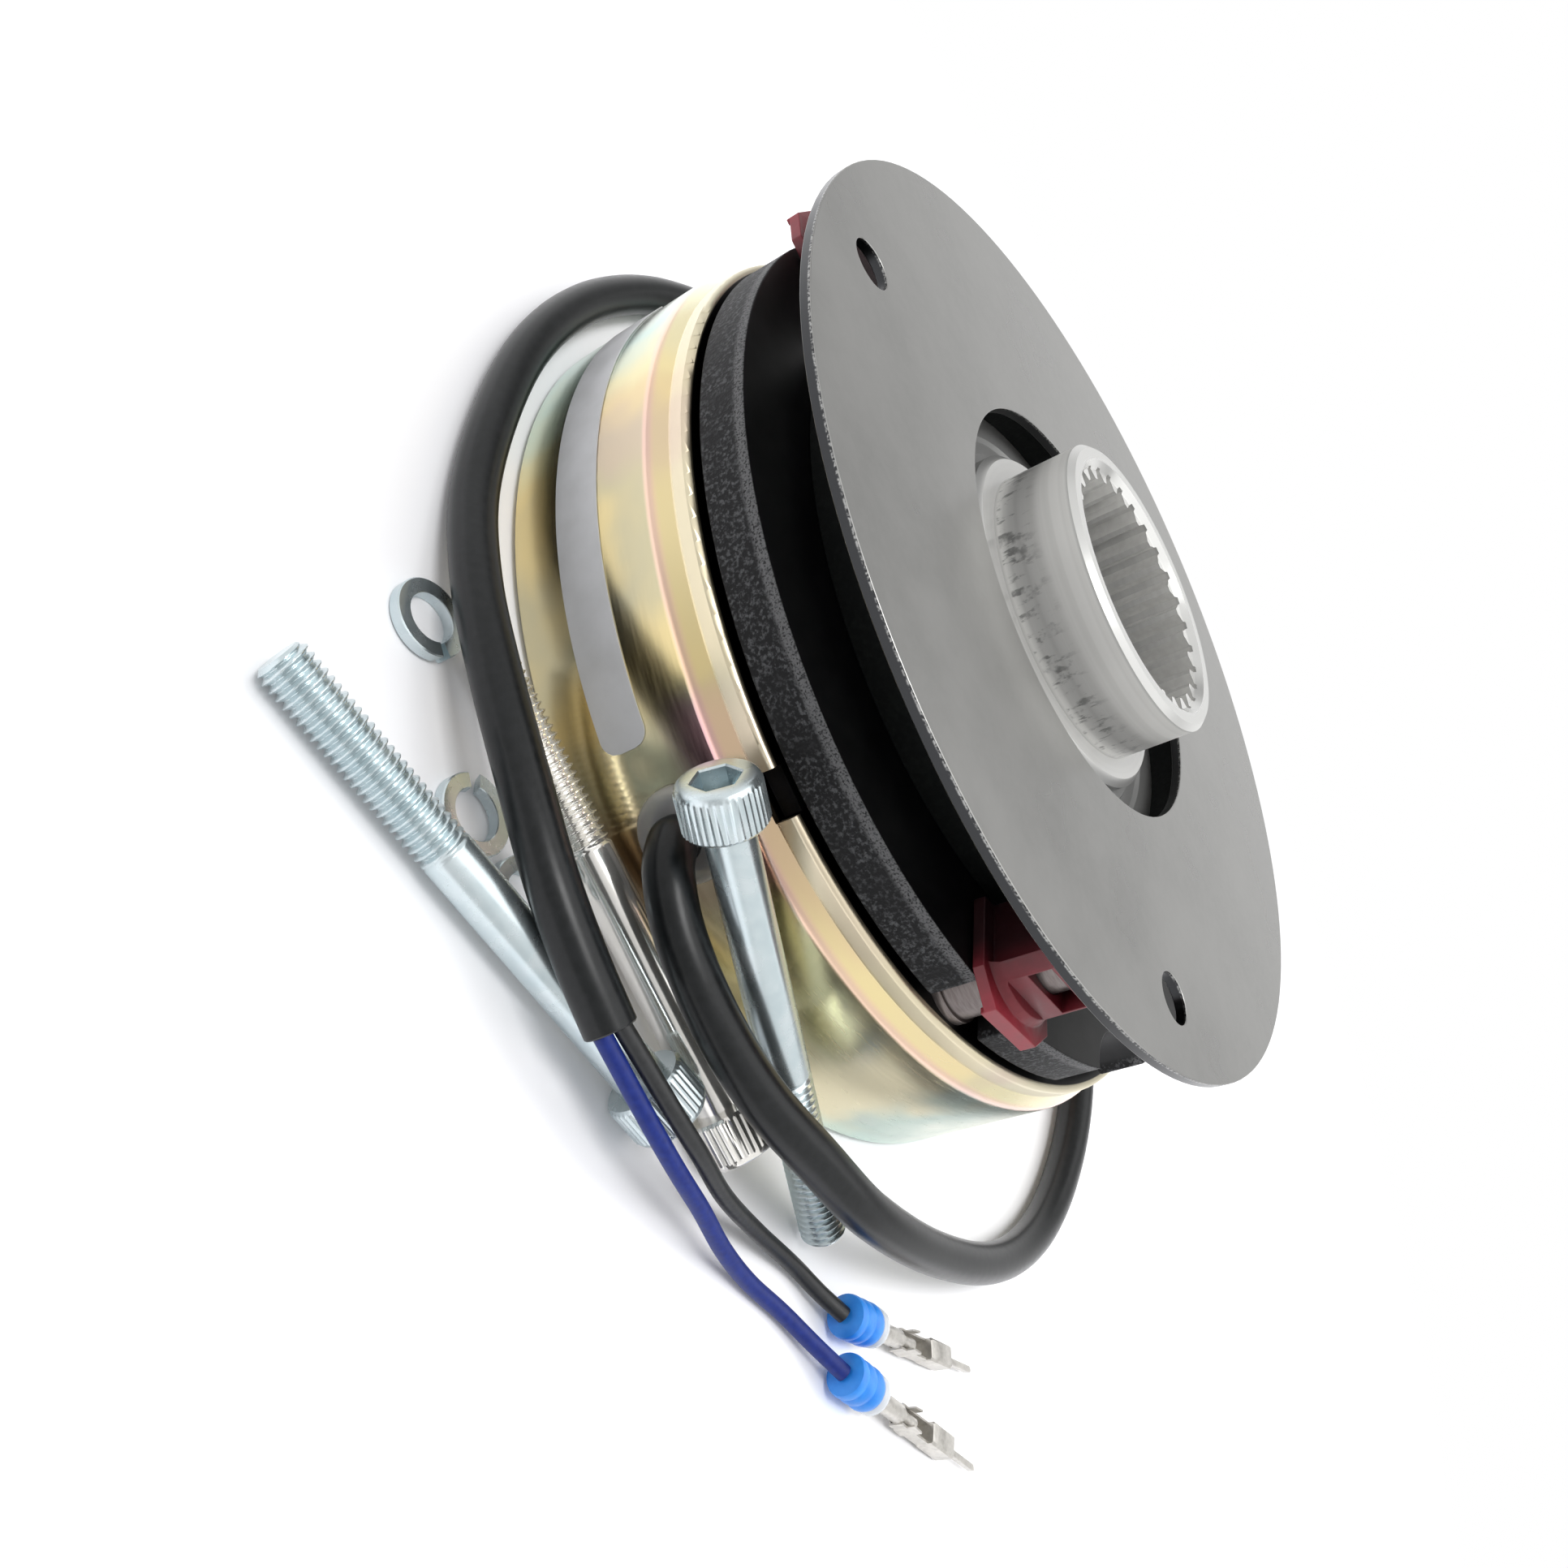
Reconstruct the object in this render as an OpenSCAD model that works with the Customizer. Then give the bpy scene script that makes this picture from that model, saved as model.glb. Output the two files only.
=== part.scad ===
// Spring-applied electromagnetic clutch-brake, 130 mm class, with its loose screws and its lead.
// Axis +Z, origin at the centre of the magnet's rear face, millimetres.

/* [Magnet housing] */
// Outside diameter of the magnet housing
housing_d = 131; // [129:0.5:137]
// Height from the rear face to the pole face
housing_h = 27.7; // [25.7:0.1:33.7]
// Height of the stepped lip at the pole end
lip_h = 2.7; // [2.2:0.1:3.2]
// Height of the sloping shoulder below the lip
shoulder_h = 2.6; // [1.8:0.1:3.2]
// How far the lip steps in from the body
lip_step = 1.3; // [0.8:0.1:1.8]
// Width of the lead slot in the lip
lead_slot_w = 6; // [4.5:0.1:7]
// Direction of the lead slot and of the cable exit
lead_angle = -85; // [-92:1:-78]
// Diameter of the shaft bore
shaft_bore_d = 44; // [38:0.5:46]
// Edge rounding of the lip
edge_r = 0.8; // [0.3:0.1:1]

/* [Coil] */
// Inside radius of the coil groove
groove_in_r = 33.5; // [32.5:0.1:35]
// Wall between the coil groove and the housing's edge
groove_wall = 15.5; // [14:0.5:17]
// Depth of the coil groove below the pole face
groove_depth = 20; // [16:0.5:22]
// Wall of the coil bobbin
bobbin_wall = 1.2; // [0.8:0.1:2]
// Thickness of the black potting over the bobbin
potting_t = 2.5; // [1.5:0.1:4]

/* [Screw circle] */
// Distance of the three screws from the housing's edge
screw_edge = 8; // [7.5:0.25:8.5]
// Nominal diameter of the screws
screw_d = 6; // [5:0.5:6]
// Radial clearance of the screw holes in the housing
screw_clearance = 0.3; // [0.15:0.05:0.4]
// Radial clearance of the screw holes in the flange plate
plate_hole_clearance = 0.5; // [0.3:0.05:0.75]
// Direction of the first screw hole
first_screw_angle = -51.5; // [-55:0.5:-45]

/* [Sleeves and clips] */
// Outside diameter of a spacer sleeve
sleeve_d = 9.6; // [9:0.1:10]
// Diameter of the ring at the foot of a sleeve
sleeve_foot_d = 10.4; // [10.1:0.1:10.6]
// Height of the ring at the foot of a sleeve
sleeve_foot_h = 1.2; // [0.8:0.1:2]
// Gap between a sleeve and its notch in the armature
sleeve_gap = 0.6; // [0.4:0.1:1]
// Wall of the clip that grips a sleeve
clip_wall = 2.4; // [2:0.1:2.6]
// Thickness of the clip's foot
clip_foot_t = 1.6; // [1.2:0.1:2.4]
// Height of the window in the clip
clip_window_h = 3; // [2:0.1:4]

/* [Armature] */
// How far the armature's edge stays inside the housing's edge
armature_step = 2.5; // [2:0.1:3.5]
// Thickness of the armature plate
armature_t = 6.7; // [5:0.1:8]
// Air gap between the pole face and the armature, as the springs hold it before mounting
air_gap = 1; // [0.2:0.1:1.2]
// Radius of the round hand-release notches
release_notch_r = 9; // [7:0.5:10]
// Direction of the first hand-release notch
release_angle = -20; // [-22:1:-16]

/* [Springs] */
// Number of pressure springs
spring_count = 6; // [4:1:8]
// Radius of the circle the springs stand on
spring_circle_r = 28; // [27.5:0.1:28.5]
// Outside diameter of a spring
spring_d = 6; // [5:0.1:6.4]
// Wire diameter of a spring
spring_wire_d = 1; // [0.7:0.05:1.2]
// Depth of a spring pocket
pocket_depth = 12; // [9:0.5:15]

/* [Rotor] */
// Outside diameter of the friction linings
lining_d = 99; // [94:0.5:100]
// Inside diameter of the friction linings
lining_in_d = 68; // [66:0.5:74]
// Thickness of one lining
lining_t = 4.65; // [3.5:0.05:5]
// Thickness of the carrier disc between the linings
carrier_t = 2.2; // [1.6:0.1:3]
// Outside diameter of the hub
hub_d = 43; // [41:0.5:45]
// Length of the hub above the carrier disc
hub_up = 15.35; // [12:0.05:20]
// Length of the hub below the carrier disc
hub_down = 3.9; // [2:0.1:4.2]
// Diameter of the collar at the root of the hub
collar_d = 51; // [48:0.5:53]
// Height of the collar above the carrier disc
collar_h = 3.6; // [2:0.1:5]
// Running gap at each side of the rotor
running_gap = 0.1; // [0.05:0.01:0.3]

/* [Spline] */
// Number of teeth of the hub's internal spline
teeth = 28; // [24:1:29]
// Module of the spline
tooth_module = 1.25; // [1.2:0.01:1.3]
// Pressure angle of the spline
pressure_angle = 30; // [25:1:32]

/* [Flange plate] */
// How far the flange plate stands out over the housing's edge
plate_overhang = 2.5; // [0:0.5:5.5]
// Thickness of the flange plate
plate_t = 1.5; // [1:0.1:3]
// Diameter of the hole in the flange plate
plate_bore_d = 62; // [58:0.5:66]
// How far the loose plate lies turned from the line of the sleeves
plate_turn = 20.5; // [0:0.5:20.5]

/* [Loose screws and washers] */
// Length of a screw under its head
screw_length = 60; // [55:5:65]
// Diameter of a screw's head
screw_head_d = 10; // [9:0.1:10.2]
// Height of a screw's head
screw_head_h = 6; // [5:0.1:6.5]
// Width across the flats of the hex socket
socket_af = 5; // [4:0.5:5]
// Outside diameter of a spring lock washer
washer_d = 9.9; // [9.4:0.1:10]
// Thickness of a spring lock washer
washer_t = 1.6; // [1.2:0.1:1.8]

/* [Lead] */
// Diameter of the cable jacket
cable_d = 6; // [5.4:0.1:6.2]
// Diameter of an insulated wire
wire_d = 2.2; // [1.8:0.1:2.2]
// Diameter of a wire seal
seal_d = 5.6; // [5:0.1:5.6]
// Length of a wire seal
seal_l = 7.5; // [6:0.1:7.5]
// Length of a crimp contact with its pin
contact_l = 26.8; // [22:0.2:28]

/* [Label] */
// Height of the bare label strip
label_h = 6.6; // [5:0.2:9]
// Height of the label's middle above the rear face
label_z = 11.4; // [8:0.2:13]
// Direction of the label's end beside the cable
label_from = -95; // [-99:1:-94]
// Arc that the label covers
label_arc = 70; // [40:5:90]

/* [Hidden] */

$fn = 96;
eps = 0.05; // overshoot of every cutter

// Radii and heights that follow from the sizes above
housing_r = housing_d / 2;
lip_r = housing_r - lip_step;
lip_z = housing_h - lip_h;
shoulder_z = lip_z - shoulder_h;
screw_r = housing_r - screw_edge;
screw_hole_r = screw_d / 2 + screw_clearance;
plate_hole_r = screw_d / 2 + plate_hole_clearance;
groove_out_r = housing_r - groove_wall;
armature_r = housing_r - armature_step;
plate_r = housing_r + plate_overhang;
armature_z = housing_h + air_gap;
armature_top = armature_z + armature_t;
rotor_z = armature_top + running_gap;
carrier_z = rotor_z + lining_t;
carrier_top = carrier_z + carrier_t;
hub_top = carrier_top + hub_up;
plate_z = carrier_top + lining_t + running_gap;
sleeve_seat = 0.05; // gap between a sleeve and the loose plate
sleeve_top = plate_z - sleeve_seat;

// Fits and small forms of the housing and the coil
fit_gap = 0.1;           // side clearance of parts that are laid into each other
shoulder_round = 2.5;    // rounding between the wall and the slope
shoulder_lean = atan(lip_step / shoulder_h);
shoulder_run = shoulder_round * tan(shoulder_lean / 2);
rear_chamfer = 1;
slot_floor = 2.8;        // depth of the lead slot below the pole face
potting_setback = 2;     // how far the potting stays behind the lip in the slot
release_hole_d = 5.5;    // through hole for a hand-release bolt
exit_drop = 13.3;        // from the pole face down to the middle of the cable exit
grommet_z = housing_h - exit_drop;
grommet_d = 12;
grommet_stem_d = 9;
grommet_seat_r = housing_r - 0.5;
grommet_proud = 2.5;
label_t = 0.15;
glue_gap = 0.02;

// Clip: outline of its foot around a sleeve, x outwards and y along the rim
clip_lift = 0.3;         // gap between the clip and the armature
clip_head_gap = 0.4;     // gap between the clip and the flange plate
clip_foot = [[-5, -7.6], [5, -7.6], [9.5, -4.8], [9.2, 4.6], [6, 7.6], [-5, 7.6]];
clip_tab_t = 0.9;
clip_tab_drop = 0.5;
clip_window_w = 8.4;
clip_bar = 2.6;          // bridge over the window
clip_cheek = 0.6;        // wall beside the sleeve, thinner than in front of it
clip_cheek_x = 4;        // where the cheeks step out to the full wall
clip_front = 5.8;        // flat front round the window
clip_fillet = 1.2;

// Springs
spring_seat = 0.1;
spring_turns = 5;
spring_sides = 5;
spring_steps = 8;        // rings in one turn

// Spline: tooth spaces with involute flanks
pitch_r = teeth * tooth_module / 2;
base_r = pitch_r * cos(pressure_angle);
spline_tip_r = pitch_r - 0.8 * tooth_module;
spline_root_r = pitch_r + 0.64 * tooth_module;
flank_points = 3;
mouth_chamfer = 1;       // conical mouth of the spline, from below the roots of its teeth
mouth_in_r = spline_root_r - 0.3;
hub_chamfer = 0.8;
carrier_groove = [27, 30, 0.5]; // inner radius, outer radius and depth of the turned groove

// Loose screws: tip on the table, heading and slope towards the head
lying_slope = asin((screw_head_d - screw_d) / 2 / screw_length);
loose_screws = [
  [59.5, -54.9, 198.2, 21],
  [-22.6, -71.4, 3.6, lying_slope],
  [-26.6, -101.9, 22.6, lying_slope],
];
screw_tip_chamfer = 0.8;
head_chamfer = 0.5;
socket_depth = 3;
rest_gap = 0.02;         // height of lying things over the table
laid_round_r = 65.5;     // radius of the housing that the lying things are laid round

// A lying thing's point, moved outwards by as much as the housing has grown
function laid(p) = p + (housing_r - laid_round_r) / norm([p[0], p[1]]) * [p[0], p[1], 0];

// Loose washers on the table: place and direction of the split
loose_washers = [[-28, -76.3, 350], [-5.5, -82.5, 150], [5.1, -80.2, 60]];
washer_split = 1.2;
washer_split_lean = 20;

// Lead: routes through hand-chosen points
exit_dir = [cos(lead_angle), sin(lead_angle), 0];
cable_exit = exit_dir * (housing_r + 2) + [0, 0, grommet_z];
cable_route = concat([cable_exit, cable_exit + 1.5 * exit_dir], [for (p = [
  [9, -72, grommet_z], [16, -74, grommet_z - 0.4], [26, -73.8, grommet_z - 0.6],
  [36, -71.4, grommet_z - 0.6], [46, -66, grommet_z - 0.8],
  [57.5, -57.5, 12], [71.8, -39.5, 8], [82.5, -20.5, 5], [87, -3, 3.5], [86, 14.4, 3.1],
  [80.4, 31.8, 3.1], [69.5, 48.8, 3.1], [54.5, 62.5, 3.1], [36, 73, 3.1], [14, 79, 3.1],
  [-8, 79, 3.1], [-29, 73, 3.1], [-48, 59.8, 3.1], [-61.6, 42.4, 3.1], [-69.4, 23.2, 3.1],
  [-72.2, 5, 3.1], [-71, -11, 3.1], [-67, -25.5, 3.1], [-60.5, -39, 3.1], [-51, -52, 3.1],
  [-41, -62.5, 3.4], [-30, -71.5, 5.6], [-19, -78, 8], [-7, -82.8, 9.6],
  [4, -86, 10.3], [13, -86.8, 10.3], [21, -86.8, 10.3],
]) laid(p)]);
black_route = [for (p = [
  [21, -86, 11.2], [28, -84.2, 10.9], [33, -82.8, 10.6], [38, -80.2, 9.4], [45, -75, 6.2],
  [52.5, -68, 3.2], [60, -61.8, 1.6], [65, -59.6, 2], [68.9, -58.4, 3.2],
]) laid(p)];
blue_route = [for (p = [
  [21, -87.6, 9.6], [28, -86.2, 9.2], [34, -84.6, 8.6], [39, -82.3, 7.4], [44.5, -79, 5.6],
  [51, -75.2, 3.2], [57, -71.2, 1.6], [63, -67.4, 1.4], [69, -64.8, 2], [73.9, -63.2, 3.2],
]) laid(p)];
black_heading = 48;      // direction of the black wire's seal and contact
blue_heading = 38;
contact_slope = -3.4;
cable_sides = 10;
wire_sides = 8;

// Seal
seal_ribs = 3;
seal_rib = 0.4;          // height of a rib
seal_rib_gap = 0.5;
seal_ring_l = 1.8;       // clear ring at the contact's end

// Contact, along its own axis from the seal
barrel_l = 7;
crimp_l = 6;
box_l = 6;
box_w = 3;
pin_w = 0.9;

function unit(v) = v / norm(v);

// Tangent of a route at its point i
function slope_at(p, i) = p[min(i + 1, len(p) - 1)] - p[max(i - 1, 0)];

// Point of the smooth curve between points i and i + 1
function hermite(p, i, t) =
  let (
    step = norm(p[i + 1] - p[i]),
    a = unit(slope_at(p, i)) * step,
    b = unit(slope_at(p, i + 1)) * step
  )
  (2 * t * t * t - 3 * t * t + 1) * p[i] + (t * t * t - 2 * t * t + t) * a
  + (3 * t * t - 2 * t * t * t) * p[i + 1] + (t * t * t - t * t) * b;

function smooth(p, n) =
  concat([for (i = [0:len(p) - 2], k = [0:n - 1]) hermite(p, i, k / n)], [p[len(p) - 1]]);

// Tube of radius r with flat ends along a list of points
module tube(p, r, sides) {
  n = len(p);
  rings = [for (i = [0:n - 1])
    let (t = unit(slope_at(p, i)), side = unit(cross(t, [0, 0, 1])), up = cross(side, t))
    for (k = [0:sides - 1]) p[i] + r * (cos(360 * k / sides) * up + sin(360 * k / sides) * side)];
  walls = [for (i = [0:n - 2], k = [0:sides - 1], half = [0, 1])
    let (a = i * sides + k, b = i * sides + (k + 1) % sides)
    half == 0 ? [a, a + sides, b + sides] : [a, b + sides, b]];
  first = [for (k = [0:sides - 1]) k];
  last = [for (k = [sides - 1:-1:0]) (n - 1) * sides + k];
  polyhedron(rings, concat(walls, [first], [last]), convexity = 8);
}

// Places its children on each of the three screw axes
module on_screw_circle(i) {
  rotate([0, 0, first_screw_angle + 120 * i]) translate([screw_r, 0, 0]) children();
}

module ring(outer_r, inner_r, z, h) {
  translate([0, 0, z]) difference() {
    cylinder(r = outer_r, h = h);
    translate([0, 0, -eps]) cylinder(r = inner_r, h = h + 2 * eps);
  }
}

// Turned section of the pot magnet, with the rounded edges and the slope up to the lip
module housing_section() {
  difference() {
    union() {
      polygon([
        [shaft_bore_d / 2, rear_chamfer / 2], [shaft_bore_d / 2 + rear_chamfer / 2, 0],
        [housing_r - rear_chamfer, 0], [housing_r, rear_chamfer],
        [housing_r, shoulder_z - shoulder_run],
        [housing_r - shoulder_run * sin(shoulder_lean), shoulder_z + shoulder_run * cos(shoulder_lean)],
        [lip_r, lip_z], [lip_r, housing_h - edge_r], [lip_r - edge_r, housing_h],
        [shaft_bore_d / 2 + rear_chamfer / 2, housing_h], [shaft_bore_d / 2, housing_h - rear_chamfer / 2],
      ]);
      translate([housing_r - shoulder_round, shoulder_z - shoulder_run]) circle(r = shoulder_round);
      translate([lip_r - edge_r, housing_h - edge_r]) circle(r = edge_r, $fn = 48);
    }
    translate([groove_in_r, housing_h - groove_depth])
      square([groove_out_r - groove_in_r, groove_depth + eps]);
  }
}

module magnet_housing() {
  color("#c9b26a") difference() {
    rotate_extrude() housing_section();
    for (i = [0:2]) on_screw_circle(i)
      translate([0, 0, -eps]) cylinder(r = screw_hole_r, h = housing_h + 2 * eps);
    for (i = [0:1]) rotate([0, 0, release_angle + 180 * i])
      translate([screw_r, 0, -eps]) cylinder(d = release_hole_d, h = housing_h + 2 * eps);
    for (i = [0:spring_count - 1]) rotate([0, 0, 360 * i / spring_count])
      translate([spring_circle_r, 0, housing_h - pocket_depth])
        cylinder(d = spring_d + 2 * fit_gap, h = pocket_depth + eps);
    rotate([0, 0, lead_angle]) {
      translate([groove_out_r - eps, -lead_slot_w / 2, housing_h - slot_floor])
        cube([housing_r, lead_slot_w, slot_floor + eps]);
      translate([groove_out_r - eps, 0, grommet_z]) rotate([0, 90, 0])
        cylinder(d = grommet_stem_d, h = housing_r);
      translate([grommet_seat_r, 0, grommet_z]) rotate([0, 90, 0])
        cylinder(d = grommet_d + 2 * fit_gap, h = housing_r);
    }
  }
}

// Spool that carries the winding, open outwards
module coil_bobbin() {
  in_r = groove_in_r + fit_gap;
  out_r = groove_out_r - fit_gap;
  low = housing_h - groove_depth + fit_gap;
  high = housing_h - potting_t - fit_gap;
  color("#e8e2d0") rotate_extrude() difference() {
    translate([in_r, low]) square([out_r - in_r, high - low]);
    translate([in_r + bobbin_wall, low + bobbin_wall])
      square([out_r - in_r, high - low - 2 * bobbin_wall]);
  }
}

module coil_winding() {
  in_r = groove_in_r + bobbin_wall + 2 * fit_gap;
  low = housing_h - groove_depth + bobbin_wall + 2 * fit_gap;
  high = housing_h - potting_t - bobbin_wall - 2 * fit_gap;
  color("#b5632a") rotate_extrude()
    translate([in_r, low]) square([groove_out_r - 2 * fit_gap - in_r, high - low]);
}

// Black resin that closes the groove and fills the lead slot
module coil_potting() {
  color("#15151a") {
    union() {
      ring(groove_out_r - fit_gap, groove_in_r + fit_gap, housing_h - potting_t, potting_t - fit_gap);
      rotate([0, 0, lead_angle])
        translate([groove_out_r - 1, fit_gap - lead_slot_w / 2, housing_h - potting_t])
          cube([lip_r - potting_setback - groove_out_r + 1, lead_slot_w - 2 * fit_gap, potting_t - fit_gap]);
    }
  }
}

// Height of a spring's wire after some turns: closed coils at both ends, open ones between
function spring_rise(turn, span) =
  let (closed = 1.1 * spring_wire_d, pitch = (span - 2 * closed) / (spring_turns - 2))
  closed * min(turn, 1) + pitch * max(0, min(turn - 1, spring_turns - 2))
  + closed * max(0, turn - spring_turns + 1);

module pressure_spring() {
  r = (spring_d - spring_wire_d) / 2;
  span = pocket_depth + air_gap - 2 * spring_seat - spring_wire_d;
  tube([for (i = [0:spring_turns * spring_steps]) let (turn = i / spring_steps)
    [r * cos(360 * turn), r * sin(360 * turn), spring_rise(turn, span)]], spring_wire_d / 2, spring_sides);
}

module pressure_springs() {
  color("#9aa0a6") for (i = [0:spring_count - 1]) rotate([0, 0, 360 * i / spring_count])
    translate([spring_circle_r, 0, housing_h - pocket_depth + spring_seat + spring_wire_d / 2])
      pressure_spring();
}

// Spacer that sets the distance between the magnet and the flange plate
module spacer_sleeve(i) {
  color("#b9b0b0") on_screw_circle(i) translate([0, 0, housing_h]) difference() {
    union() {
      cylinder(d = sleeve_d, h = sleeve_top - housing_h);
      cylinder(d = sleeve_foot_d, h = sleeve_foot_h);
    }
    translate([0, 0, -eps]) cylinder(r = screw_hole_r, h = sleeve_top - housing_h + 2 * eps);
  }
}

// Plastic clip round a sleeve: foot over the armature, wall with a window in its flat front,
// thin cheeks beside the sleeve and a tab at the rim
module retaining_clip(i) {
  bottom = armature_top + clip_lift;
  top = plate_z - clip_head_gap;
  bore_r = sleeve_d / 2 + fit_gap;
  wall_r = bore_r + clip_wall;
  inner_x = clip_foot[0][0];
  color("#8f1f2b") on_screw_circle(i) difference() {
    union() {
      translate([0, 0, bottom]) linear_extrude(clip_foot_t) polygon(clip_foot);
      translate([0, 0, bottom]) cylinder(r = wall_r, h = top - bottom);
      translate([inner_x, -bore_r - clip_cheek, bottom])
        cube([-inner_x, 2 * (bore_r + clip_cheek), top - bottom]);
      translate([0, 0, bottom + clip_foot_t])
        cylinder(r1 = wall_r + clip_fillet / 2, r2 = wall_r, h = clip_fillet);
      translate([0, 0, bottom - clip_tab_drop]) linear_extrude(clip_tab_drop + clip_foot_t)
        polygon([
          clip_foot[2], clip_foot[3],
          clip_foot[3] - [clip_tab_t, 0], clip_foot[2] - [clip_tab_t, 0],
        ]);
    }
    translate([0, 0, bottom - eps]) cylinder(r = bore_r, h = top - bottom + 2 * eps);
    translate([inner_x - eps, -bore_r, bottom - eps])
      cube([eps - inner_x, 2 * bore_r, top - bottom + 2 * eps]);
    translate([inner_x - 2 * wall_r, -2 * wall_r, bottom - eps])
      cube([2 * wall_r, 4 * wall_r, top - bottom + 2 * eps]);
    for (y = [bore_r + clip_cheek, -bore_r - clip_cheek - wall_r])
      translate([-2 * wall_r, y, bottom + clip_foot_t])
        cube([2 * wall_r + clip_cheek_x, wall_r, top - bottom]);
    translate([clip_front, -wall_r, bottom + clip_foot_t + clip_fillet])
      cube([wall_r, 2 * wall_r, top - bottom]);
    translate([0, -clip_window_w / 2, top - clip_bar - clip_window_h])
      cube([wall_r + clip_wall, clip_window_w, clip_window_h]);
  }
}

// Translucent bush that holds the cable in the housing wall
module cable_grommet() {
  color("#d8d4cc", 0.8) rotate([0, 0, lead_angle]) translate([0, 0, grommet_z]) rotate([0, 90, 0]) {
    difference() {
      union() {
        translate([0, 0, groove_out_r + fit_gap])
          cylinder(d = grommet_stem_d - 2 * fit_gap, h = grommet_seat_r - groove_out_r);
        translate([0, 0, grommet_seat_r])
          cylinder(d = grommet_d, h = grommet_proud - 1);
        translate([0, 0, grommet_seat_r + grommet_proud - 1])
          cylinder(d1 = grommet_d, d2 = grommet_d - 2, h = 1);
      }
      translate([0, 0, groove_out_r]) cylinder(d = cable_d - 1, h = grommet_seat_r - groove_out_r);
    }
  }
}

// Bare foil strip bent round the housing
module label_strip() {
  color("#b9bcc2") rotate([0, 0, label_from - label_arc]) rotate_extrude(angle = label_arc)
    translate([housing_r + glue_gap, label_z - label_h / 2]) square([label_t, label_h]);
}

module cable_jacket() {
  color("#1b1b1d") tube(smooth(cable_route, 2), cable_d / 2, cable_sides);
}

module wire_black() {
  color("#202024") tube(black_route, wire_d / 2, wire_sides);
}

module wire_blue() {
  color("#2a3aa0") tube(blue_route, wire_d / 2, wire_sides);
}

// Puts its children at a route's last point, their +Z along the heading
module along_wire(route, heading) {
  translate(route[len(route) - 1]) rotate([0, 0, heading]) rotate([0, 90 - contact_slope, 0]) children();
}

// Silicone seal on a wire: ribbed body and a narrower ring towards the contact
module wire_seal(route, heading) {
  body_l = seal_l - seal_ring_l;
  color("#2f86e0") along_wire(route, heading) rotate_extrude() union() {
    square([seal_d / 2 - seal_rib, seal_l]);
    for (i = [0:seal_ribs - 1]) translate([0, i * body_l / seal_ribs + seal_rib_gap / 2])
      square([seal_d / 2, body_l / seal_ribs - seal_rib_gap]);
  }
}

module wire_seal_black() { wire_seal(black_route, black_heading); }
module wire_seal_blue() { wire_seal(blue_route, blue_heading); }

// Tin-plated contact: wire barrel, open crimp, folded box and pin
module contact_pin(route, heading) {
  color("#c6c6c2") along_wire(route, heading) translate([0, 0, seal_l]) union() {
    cylinder(d = wire_d * 0.7, h = barrel_l + eps);
    translate([0, 0, barrel_l]) cylinder(d = box_w, h = crimp_l / 2);
    translate([-box_w / 2, -box_w / 2, barrel_l]) cube([box_w / 3, box_w, crimp_l + eps]);
    translate([-box_w / 2, -box_w / 2, barrel_l + crimp_l]) cube([box_w, box_w, box_l]);
    translate([-pin_w / 2, -pin_w / 2, barrel_l + crimp_l + box_l - eps])
      cube([pin_w, pin_w, contact_l - barrel_l - crimp_l - box_l + eps]);
  }
}

module contact_pin_black() { contact_pin(black_route, black_heading); }
module contact_pin_blue() { contact_pin(blue_route, blue_heading); }

// Socket head cap screw with its tip at the origin and its head towards +Z
module cap_screw() {
  difference() {
    union() {
      cylinder(r1 = screw_d / 2 - screw_tip_chamfer, r2 = screw_d / 2, h = screw_tip_chamfer);
      translate([0, 0, screw_tip_chamfer]) cylinder(d = screw_d, h = screw_length - screw_tip_chamfer);
      translate([0, 0, screw_length]) cylinder(d = screw_head_d, h = screw_head_h - head_chamfer);
      translate([0, 0, screw_length + screw_head_h - head_chamfer])
        cylinder(d1 = screw_head_d, d2 = screw_head_d - 2 * head_chamfer, h = head_chamfer);
    }
    translate([0, 0, screw_length + screw_head_h - socket_depth])
      cylinder(d = socket_af / cos(30), h = socket_depth + eps, $fn = 6);
  }
}

module mounting_screws() {
  color("#c3ccd2") for (s = loose_screws)
    translate(laid([s[0], s[1], screw_d / 2 * cos(s[3]) + rest_gap]))
      rotate([0, 0, s[2]]) rotate([0, 90 - s[3], 0]) cap_screw();
}

module lock_washers() {
  color("#c3ccd2") for (w = loose_washers)
    translate(laid([w[0], w[1], rest_gap])) rotate([0, 0, w[2]]) difference() {
      ring(washer_d / 2, screw_d / 2 + 0.1, 0, washer_t);
      translate([0, -washer_split / 2, washer_t / 2]) rotate([washer_split_lean, 0, 0])
        translate([0, 0, -washer_d / 2]) cube([washer_d, washer_split, washer_d]);
    }
}

// Plate that the magnet pulls in: open notches for the sleeves and the hand release
module armature_plate() {
  notch_r = sleeve_d / 2 + sleeve_gap;
  color("#26272b") difference() {
    ring(armature_r, shaft_bore_d / 2, armature_z, armature_t);
    for (i = [0:2]) on_screw_circle(i) translate([0, 0, armature_z - eps]) {
      cylinder(r = notch_r, h = armature_t + 2 * eps);
      translate([0, -notch_r, 0]) cube([armature_r, 2 * notch_r, armature_t + 2 * eps]);
    }
    for (i = [0:1]) rotate([0, 0, release_angle + 180 * i])
      translate([screw_r + release_notch_r, 0, armature_z - eps])
        cylinder(r = release_notch_r, h = armature_t + 2 * eps);
  }
}

// Angle from the middle of a tooth space to its flank, in degrees
function involute(r) = let (a = acos(base_r / r)) tan(a) * 180 / PI - a;
function space_half(r) = 90 / teeth + involute(pitch_r) - involute(r);

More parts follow.
